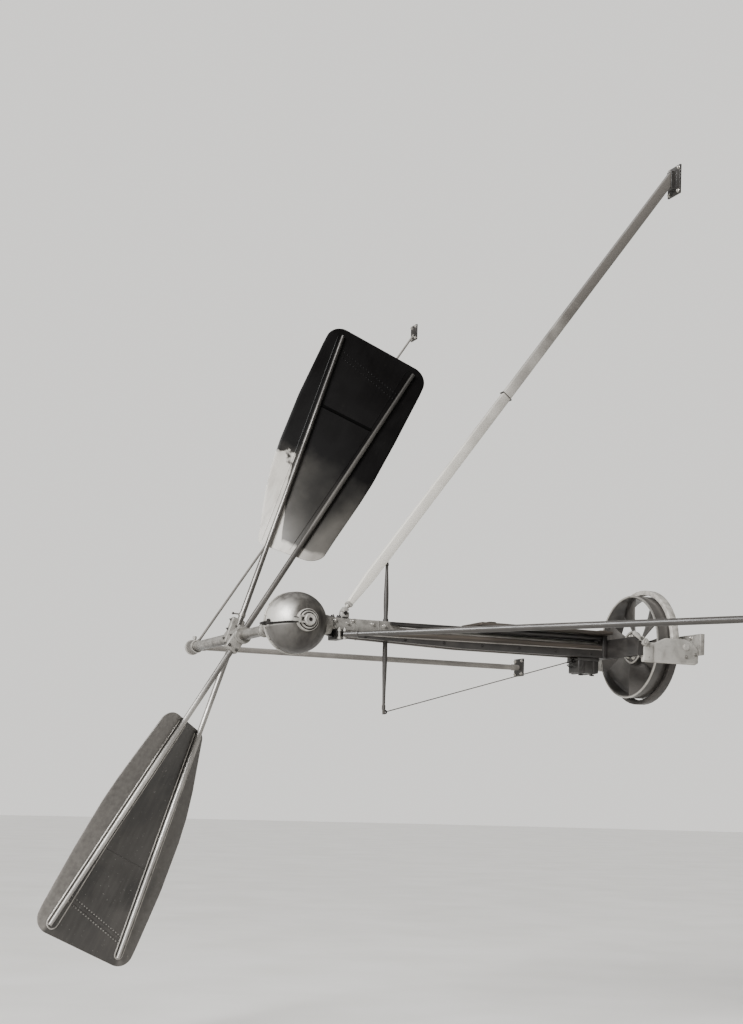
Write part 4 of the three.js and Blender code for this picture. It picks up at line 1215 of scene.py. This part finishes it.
# %% Clamp studs, lips and strut pin
STUD_Y = 0.0695
STUD_LOW, STUD_HIGH = -0.078, -0.016
PIN = STRUT_FOOT - 0.012 * Z_AXIS
studs = []
for x in (2.082, 2.112):
    studs.append(rod("stud", (x, STUD_Y, STUD_LOW), (x, STUD_Y, STUD_HIGH), 0.0072, sides=24))
    for z in (-0.070, -0.030):
        studs.append(rod("nut", (x, STUD_Y, z - 0.006), (x, STUD_Y, z + 0.006), 0.0112, sides=6))
dressed(joined("clamp_studs", studs), "outrigger", turned_steel)
lips = []
for x in (2.006, 1.864):
    lips.append(eased_block("lip", (x - 0.003, -0.0255, -0.0215), (x + 0.003, 0.0255, 0.0415), 0.0012))
dressed(joined("neck_lips", lips), "outrigger", weathered_cast)
lug_pieces = [rod("pin", PIN - 0.026 * Y_AXIS, PIN + 0.026 * Y_AXIS, 0.0085, sides=24)]
for side in (-1, 1):
    head_start, head_end = PIN + side * 0.0165 * Y_AXIS, PIN + side * 0.0225 * Y_AXIS
    lug_pieces.append(rod("pin_head", head_start, head_end, 0.0125, sides=6))
    foot_low, foot_high = (2.046, side * 0.021 - 0.006, 0.040), (2.076, side * 0.021 + 0.006, 0.048)
    lug_pieces.append(eased_block("foot", foot_low, foot_high, 0.002))
dressed(joined("strut_lug_pin", lug_pieces), "outrigger", black_iron)

# %% [markdown]
# ## The king posts
# A post stands above the neck and another hangs below it, so the strut above and the wire stay below brace
# the beam. Both are spindles: thickest near the neck and thin at the tip, with turned ferrules. The lathe
# helper draws each from its table of radii, and small rings are the eyes of the wire stay.

# %% King posts
UPPER_POST_FOOT, LOWER_POST_FOOT = Vector((1.813, 0, 0.0403)), Vector((1.813, 0, -0.0223))
UPPER_POST = [
    # height above the neck's top, radius
    (0.000, 0.0150), (0.012, 0.0150), (0.015, 0.0120), (0.030, 0.0112), (0.090, 0.0132), (0.150, 0.0130),
    (0.220, 0.0104), (0.272, 0.0082), (0.300, 0.0078), (0.302, 0.0100), (0.314, 0.0100), (0.317, 0.0076),
    (0.330, 0.0070),
]
LOWER_POST = [
    # depth below the neck's underside, radius
    (0.000, 0.0160), (0.016, 0.0160), (0.020, 0.0126), (0.060, 0.0128), (0.130, 0.0136), (0.210, 0.0118),
    (0.320, 0.0086), (0.386, 0.0078), (0.388, 0.0100), (0.410, 0.0100), (0.413, 0.0078), (0.437, 0.0070),
]
STAY_ENDS = [(1.8047, 0, -0.446), (0.628, 0, -0.102)]
upper_post = turned("king_post_spindle_upper", UPPER_POST_FOOT, Z_AXIS, UPPER_POST, 40)
dressed(upper_post, "outrigger", dark_varnish, ["king_post_upper"])
lower_post = turned("king_post_spindle_lower", LOWER_POST_FOOT, -Z_AXIS, LOWER_POST, 40)
dressed(lower_post, "outrigger", dark_varnish, ["king_post_lower"])
eyes = [flat_ring("eye", place, Y_AXIS, (-0.004, 0.004), (0.006, 0.012), 24) for place in STAY_ENDS]
dressed(joined("stay_eyes", eyes), "outrigger", black_iron)

# %% [markdown]
# ## The drive wheel
# The wheel that turns with the shaft has six broad twisted blades for spokes, so it blows air as it turns.
# The solid has its shape; a bright bead round each edge of the rim, a ring and a cap on the hub disc and
# its bolts are added here, as closed turned rings and one bolt copied round.

# %% Wheel details
WHEEL_FACE, WHEEL_BACK, DISC_FACE = 0.255 * X_AXIS, 0.125 * X_AXIS, 0.226 * X_AXIS
BEAD_SECTION = [
    # distance out from the rim's edge, radius
    (-0.006, 0.2885), (-0.001, 0.2865), (0.003, 0.2880), (0.0045, 0.2920), (0.003, 0.2958), (-0.001, 0.2972),
    (-0.006, 0.2962), (-0.006, 0.2885),
]
HUB_RING_SECTION = [
    # distance out from the hub disc, radius
    (-0.002, 0.083), (0.006, 0.084), (0.009, 0.087), (0.009, 0.090), (0.006, 0.094), (-0.002, 0.095),
    (-0.002, 0.083),
]
HUB_CAP_STEPS = [
    # distance out from the hub disc, radius
    (-0.002, 0.0480), (0.010, 0.0480), (0.012, 0.046), (0.032, 0.040), (0.034, 0.036), (0.034, 0.030),
]
beads = [
    turned("bead", WHEEL_FACE, X_AXIS, BEAD_SECTION, 128, closed=True),
    turned("bead_back", WHEEL_BACK, -X_AXIS, BEAD_SECTION, 128, closed=True),
]
dressed(joined("wheel_rim_beads", beads), "drive", turned_steel)
hub_pieces = [
    turned("hub_ring", DISC_FACE, X_AXIS, HUB_RING_SECTION, 80, closed=True),
    turned("hub_cap", DISC_FACE, X_AXIS, HUB_CAP_STEPS, 64),
]
dressed(joined("wheel_hub_rings", hub_pieces), "drive", turned_steel)
hub_bolts = ring_places(8, DISC_FACE, X_AXIS, 0.066, start=0.2)
hub_bolts = repeated("wheel_hub_bolts", bolt(0.0085, 0.009, 0.012, 0.007), hub_bolts)
dressed(hub_bolts, "drive", turned_steel)

# %% [markdown]
# ## The yoke's cheeks
# The beam ends in a yoke whose cheeks pass on both sides of the wheel to the bolted face. Bolts hold the
# cheeks to the yoke beam and the bridge. A thick pad where each meets the yoke beam, and a round boss near
# its other end, make the flat plates look cast.

# %% Cheek fittings
CHEEK_SIDE = 0.3732
CHEEK_BOLTS = [
    # distance out from the bolted face, height
    (0.372, -0.034), (0.372, -0.092), (0.116, -0.076), (0.052, -0.060),
]
PAD_MIDDLE, PAD_HALF_THICKNESS = 0.3775, 0.005
cheek_places = [((x, side * CHEEK_SIDE, z), side * Y_AXIS) for side in (1, -1) for x, z in CHEEK_BOLTS]
cheek_bolts = repeated("cheek_bolts", bolt(0.0070, 0.006, 0.0100), cheek_places)
dressed(cheek_bolts, "outrigger", oiled_tube)
pads = []
for side in (1, -1):
    inner, outer = side * PAD_MIDDLE - PAD_HALF_THICKNESS, side * PAD_MIDDLE + PAD_HALF_THICKNESS
    pads.append(eased_block("pad", (0.345, inner, -0.112), (0.402, outer, -0.020), 0.003))
    boss = [(0, 0.020), (0.004, 0.020), (0.0055, 0.018)]
    pads.append(turned("boss", (0.116, side * 0.3725, -0.020), side * Y_AXIS, boss, 40))
dressed(joined("cheek_pads", pads), "outrigger", cast_aluminium)

# %% [markdown]
# ## The bracket on the yoke
# A short bar with a round boss at its foot sits on the yoke beam's near end and leans inboard. The bar is
# made along X as an eased block and turned into line, and its boss and bolt are turned.

# %% Yoke bracket
BAR_TOP = Vector((0.478, 0.380, 0.040))
bar_line = Vector((-0.080, 0, -0.050)).normalized()
bar = eased_block("bar", (0, -0.006, -0.011), (0.094, 0.006, 0.011), 0.003)
bar.data.transform(Matrix.Translation(BAR_TOP) @ bar_line.to_track_quat("X", "Z").to_matrix().to_4x4())
bracket_pieces = [
    bar,
    turned("boss", (0.398, 0.372, -0.010), Y_AXIS, [(0, 0.022), (0.013, 0.022), (0.016, 0.019)], 40),
    turned("boss_bolt", (0.398, 0.388, -0.010), Y_AXIS, [(0, 0.011), (0.009, 0.011), (0.011, 0.009)], 6),
    eased_block("stem", (0.408, 0.3725, -0.004), (0.436, 0.386, 0.022), 0.003),
]
dressed(joined("yoke_bracket", bracket_pieces), "outrigger", cast_aluminium)

# %% [markdown]
# ## Hoop rivets and bridge bolts
# Rivets run round the hoop that stands behind the wheel, and two rows of bolts hold the bearing bridge.
# Both are single patterns copied to their places.

# %% Hoop rivets and bridge bolts
hoop_rivets = ring_places(28, 0.180 * X_AXIS, X_AXIS, 0.319, start=math.pi / 28)
dressed(repeated("hoop_rivets", rivet(), hoop_rivets), "outrigger", pale_hoop)
bridge_places = []
for y in (-0.30, -0.20, -0.11, 0.11, 0.20, 0.30):
    for z in (-0.042, 0.042):
        bridge_places.append(((0.030, y, z), X_AXIS))
bridge_bolts = repeated("bridge_bolts", bolt(0.009, 0.008, 0.014, 0.006), bridge_places)
dressed(bridge_bolts, "outrigger", turned_steel)

# %% [markdown]
# ## The oil box
# A closed tank of folded sheet hangs under the rails. Its lid overlaps the top edge, straps hold it, and
# wing nuts and a bail handle show how it comes off. The lid and straps are thin eased blocks just proud of
# the solid, and the handle is a bent wire.

# %% Oil box fittings
STRAPS_X = (0.520, 0.594)
STRAP_HALF_WIDTH, WING_HALF_WIDTH = 0.009, 0.016
HANDLE = [
    (0.624, -0.030, -0.138), (0.640, -0.030, -0.132), (0.650, -0.026, -0.126), (0.652, 0.0, -0.124),
    (0.650, 0.026, -0.126), (0.640, 0.030, -0.132), (0.624, 0.030, -0.138),
]
box_pieces = [eased_block("lid", (0.4865, -0.0585, -0.103), (0.6285, 0.0585, -0.0835), 0.004)]
for x in STRAPS_X:
    low, high = (x - STRAP_HALF_WIDTH, -0.058, -0.1755), (x + STRAP_HALF_WIDTH, 0.058, -0.100)
    box_pieces.append(eased_block("strap", low, high, 0.002))
    box_pieces.append(rod("screw", (x, 0.030, -0.186), (x, 0.030, -0.174), 0.0055, sides=16))
    low, high = (x - WING_HALF_WIDTH, 0.0275, -0.1855), (x + WING_HALF_WIDTH, 0.0325, -0.1775)
    box_pieces.append(eased_block("wing", low, high, 0.002))
box_pieces.append(wire("handle", HANDLE, 0.0035))
dressed(joined("oil_box_fittings", box_pieces), "outrigger", dark_enamel)

# %% [markdown]
# ## The rails
# Each rail is a deep timber with an iron plate along its lower half, and a pale strip where the two meet is a
# painted highlight along the rail's edge. Coach bolts hold the plate. The plate is one face drawn from corner
# to corner and extruded, as it tapers with the rail; a cube would need as many vertices moved.

# %% Rail plates
RAIL_SIDE = 0.0603
PLATE_THICKNESS, STRIP_THICKNESS, STRIP_HALF_HEIGHT = 0.003, 0.0055, 0.003
PLATE_TOP = [(2.065, -0.048), (1.70, -0.0465), (0.63, -0.0365), (0.474, -0.0355)]
PLATE_FOOT = [(0.474, -0.0815), (1.373, -0.0815), (2.065, -0.0597)]


def flat_plate(name, outline, side, thickness):
    """A plate on one side of the rails from its [(x, z), ...] outline, extruded outwards along Y."""
    clear_selection()
    bpy.ops.mesh.primitive_circle_add(vertices=len(outline), radius=1, fill_type="NGON")
    piece = bpy.context.object
    for vertex, (x, z) in zip(piece.data.vertices, outline):
        vertex.co = (x, side * RAIL_SIDE, z)
    bpy.ops.object.mode_set(mode="EDIT")
    bpy.ops.mesh.select_all(action="SELECT")
    bpy.ops.mesh.extrude_region_move(TRANSFORM_OT_translate={"value": (0, side * thickness, 0)})
    bpy.ops.object.mode_set(mode="OBJECT")
    return recalculated(settled(piece, name))


# The pale strips are a painted highlight along the rails' edge.
strip_outline = [(x, z + STRIP_HALF_HEIGHT) for x, z in PLATE_TOP]
strip_outline += [(x, z - STRIP_HALF_HEIGHT) for x, z in reversed(PLATE_TOP)]
plates, strips, plate_places = [], [], []
for side in (1, -1):
    plates.append(softened(flat_plate("plate", PLATE_TOP + PLATE_FOOT, side, PLATE_THICKNESS), 0.001))
    strips.append(softened(flat_plate("strip", strip_outline, side, STRIP_THICKNESS), 0.0015))
    for i in range(7):
        place = (0.55 + 0.235 * i, side * (RAIL_SIDE + PLATE_THICKNESS), -0.0605 + 0.0008 * i)
        plate_places.append((place, side * Y_AXIS))
dressed(joined("rail_plates", plates), "outrigger", dark_enamel)
dressed(joined("rail_painted_highlight_strips", strips), "outrigger", pale_paint)
rail_bolts = repeated("rail_bolts", bolt(0.006, 0.004, 0.009, 0.002), plate_places)
dressed(rail_bolts, "outrigger", black_iron)

# %% [markdown]
# ## Treads on the foot board
# Four thin battens cross the foot board and give a firm footing, each held by four screws. They are eased
# blocks, and the screws' domed heads are the blades' rivet again.

# %% Foot board
BOARD_TOP, TREAD_TOP = 0.0655, 0.0705
TREAD_HALF_WIDTH, TREAD_HALF_LENGTH = 0.022, 0.116
treads, screws = [], []
for x in (0.50, 0.74, 0.98, 1.22):
    low = (x - TREAD_HALF_WIDTH, -TREAD_HALF_LENGTH, BOARD_TOP)
    high = (x + TREAD_HALF_WIDTH, TREAD_HALF_LENGTH, TREAD_TOP)
    treads.append(eased_block("batten", low, high, 0.002))
    for y in (-0.095, -0.04, 0.04, 0.095):
        screws.append(((x, y, TREAD_TOP), Z_AXIS))
dressed(joined("foot_treads", treads), "outrigger", beam_oak)
dressed(repeated("foot_board_screws", rivet(), screws), "outrigger", turned_steel)

# %% [markdown]
# ## Strut and brace ends
# The plank strut is spliced once, with a thin dark band over the splice, and ends below in a ferrule with a
# fork. The round brace has a socket and a collar at the clamp. Such fittings follow the line of their
# piece, so each is made along that line.

# %% Strut and brace fittings
PLANK_HALF_THICKNESS = 0.018
strut_line = (STRUT_HEAD - STRUT_FOOT).normalized()
strut_turn = Matrix((strut_line, Y_AXIS, strut_line.cross(Y_AXIS))).transposed().to_4x4()
strut_frame = Matrix.Translation(STRUT_FOOT) @ strut_turn


def on_strut(name, reach, length, half_width_there, proud):
    """A band round the plank at a distance up the strut."""
    y, z = PLANK_HALF_THICKNESS + proud, half_width_there + proud
    band = block(name, (reach, -y, -z), (reach + length, y, z))
    band.data.transform(strut_frame)
    return softened(band, 0.0008)


dressed(on_strut("strut_joint", 1.580, 0.005, 0.0340, 0.0012), "outrigger", black_iron)
fork = eased_block("fork", (-0.014, -0.0235, -0.014), (0.016, 0.0235, 0.014), 0.003)
fork.data.transform(strut_frame)
ferrule = [
    on_strut("socket", 0.036, 0.016, 0.0145, 0.002),
    rod("neck", STRUT_FOOT + strut_line * 0.002, STRUT_FOOT + strut_line * 0.038, 0.0100, 0.0125, 32),
    fork,
]
dressed(joined("strut_socket", ferrule), "outrigger", cast_aluminium, ["strut_ferrule"])
brace_line = (BRACE_END - BRACE_START).normalized()
brace_pieces = [
    rod("socket", BRACE_START + brace_line * 0.004, BRACE_START + brace_line * 0.075, 0.0150, 0.0140, 40),
    rod("collar", BRACE_START + brace_line * 0.068, BRACE_START + brace_line * 0.078, 0.0170, 0.0170, 40),
]
dressed(joined("brace_socket", brace_pieces), "outrigger", dark_varnish)

# %% [markdown]
# ## Bolts on the side plates
# Four plates end the strut, the brace and the rear stays at the bolted face, and each gets a bolt near
# every corner. The places come from each plate's middle and half sizes, so a bolt keeps its distance from
# the edge.

# %% Side plate bolts
PLATE_FACE, BOLT_INSET = 0.012, 0.016
SIDE_PLATES = [
    # y, z, half width, half height
    (-1.700, 0.000, 0.060, 0.060), (-3.480, 2.755, 0.050, 0.060), (0.000, 2.755, 0.060, 0.085),
    (1.770, 0.041, 0.060, 0.055),
]
side_places = []
for y, z, half_wide, half_high in SIDE_PLATES:
    for side in (-1, 1):
        for end in (-1, 1):
            place = (PLATE_FACE, y + side * (half_wide - BOLT_INSET), z + end * (half_high - BOLT_INSET))
            side_places.append((place, X_AXIS))
side_bolts = repeated("side_plate_bolts", bolt(0.008, 0.007, 0.0125), side_places)
dressed(side_bolts, "outrigger", turned_steel)

# %% [markdown]
# ## The outer bearing
# The bearing at the propeller's far end gets a bolted cap behind, a bead in front and a grease cup on top,
# and the rear tube that steadies it has a collar near each end. All of these are turned rings.

# %% Outer bearing
CAP_BACK = BEARING - 0.054 * Y_AXIS
CAP_SECTION = [
    # distance in from the cap's back, radius
    (0.0, 0.033), (0.0, 0.040), (0.002, 0.0455), (0.006, 0.0475), (0.012, 0.0475), (0.016, 0.0455),
    (0.016, 0.040), (0.016, 0.033), (0.0, 0.033),
]
GREASE_CUP = [(0, 0.007), (0.010, 0.007), (0.010, 0.0125), (0.026, 0.0125), (0.029, 0.010)]
bearing_pieces = [
    turned("bearing_cap", CAP_BACK, Y_AXIS, CAP_SECTION, 64, closed=True),
    flat_ring("cap_bead", BEARING + 0.046 * Y_AXIS, Y_AXIS, (0, 0.005), (0.034, 0.0405), 64),
    turned("grease_cup", BEARING + 0.038 * Z_AXIS, Z_AXIS, GREASE_CUP, 24),
]
dressed(joined("outer_bearing_fittings", bearing_pieces), "outrigger", cast_aluminium)
bearing_bolts = ring_places(6, CAP_BACK, -Y_AXIS, 0.041)
bearing_bolts = repeated("outer_bearing_bolts", bolt(0.0045, 0.004, 0.006, 0.003), bearing_bolts)
dressed(bearing_bolts, "outrigger", turned_steel)
collars = []
for x in (2.26, 0.040):
    collars.append(flat_ring("collar", (x, BEARING.y, 0), X_AXIS, (0, 0.024), (0.0175, 0.0215), 40))
dressed(joined("rear_tube_collars", collars), "outrigger", pale_paint)

# %% [markdown]
# ## Edges on the plain castings, plates and timbers
# Where a solid's shape is already right, it stays, and only its edges need easing: no casting or planed
# rail has knife edges. Three modifiers stay live on it: Weld joins its loose triangles, Decimate makes its
# flats whole, and Bevel rounds what is sharp. Its mesh itself isn't touched.

# %% Solids that stay
STAYING = [
    # node, finish, width of its eased edges
    ("shaft_collar", weathered_cast, 0.0015), ("neck_collar", weathered_cast, 0.0015),
    ("neck_casting", weathered_cast, 0.004), ("bearing_bridge", weathered_cast, 0.003),
    ("clamp_block", black_iron, 0.004), ("outer_bearing", oiled_tube, 0.002),
    ("cheek_near", cast_aluminium, 0.006), ("cheek_far", cast_aluminium, 0.006),
    ("strut_lug", cast_aluminium, 0.003), ("strut_plank", strut_ash, 0.002),
    ("rail_near", beam_oak, 0.004), ("rail_far", beam_oak, 0.004), ("foot_board", beam_oak, 0.003),
    ("upper_tube_near", dark_enamel, 0.0), ("upper_tube_far", dark_enamel, 0.0),
    ("shaft_pedestal", dark_enamel, 0.004), ("oil_box", dark_enamel, 0.006),
    ("yoke_beam", dark_enamel, 0.004), ("rear_tube_plate", dark_enamel, 0.002),
    ("rear_rod_plate", dark_enamel, 0.002),
    ("strut_plate", dark_enamel, 0.002), ("brace_plate", dark_enamel, 0.002),
    ("side_hoop", pale_hoop, 0.002), ("rear_rod", pale_paint, 0.0), ("rear_tube", pale_paint, 0.0),
    ("king_stay", wire_rope, 0.0), ("brace_tube", dark_varnish, 0.0),
    ("shaft_inner", shaft_steel, 0.001), ("shaft_outer", shaft_steel, 0.001),
    ("arm_tube_front", arm_tube, 0.0), ("arm_tube_rear", arm_tube, 0.0),
    ("drive_shaft", turned_steel, 0.001), ("drive_wheel", wheel_paint, 0.0015),
]
SHARP_DEGREES = 32


def finish_node(name, finish, width):
    """Gives a CAD node its finish and, where a width is given, live modifiers that ease its edges."""
    node = nodes[name]
    node.data.materials.clear()
    node.data.materials.append(finish)
    only(node)
    bpy.ops.object.shade_smooth_by_angle(angle=math.radians(SMOOTH_DEGREES))
    if width:
        weld = node.modifiers.new("weld", "WELD")
        weld.merge_threshold = 1e-5
        flats = node.modifiers.new("flats", "DECIMATE")
        flats.decimate_type = "DISSOLVE"
        flats.angle_limit = math.radians(1)
        bevel = node.modifiers.new("eased_edges", "BEVEL")
        bevel.width, bevel.segments = width, 2
        bevel.limit_method, bevel.angle_limit = "ANGLE", math.radians(SHARP_DEGREES)
        # A planed face stays flat right up to its eased edge.
        bevel.harden_normals = finish in (strut_ash, beam_oak)


for name, finish, width in STAYING:
    finish_node(name, finish, width)
print("solids kept", len(STAYING))
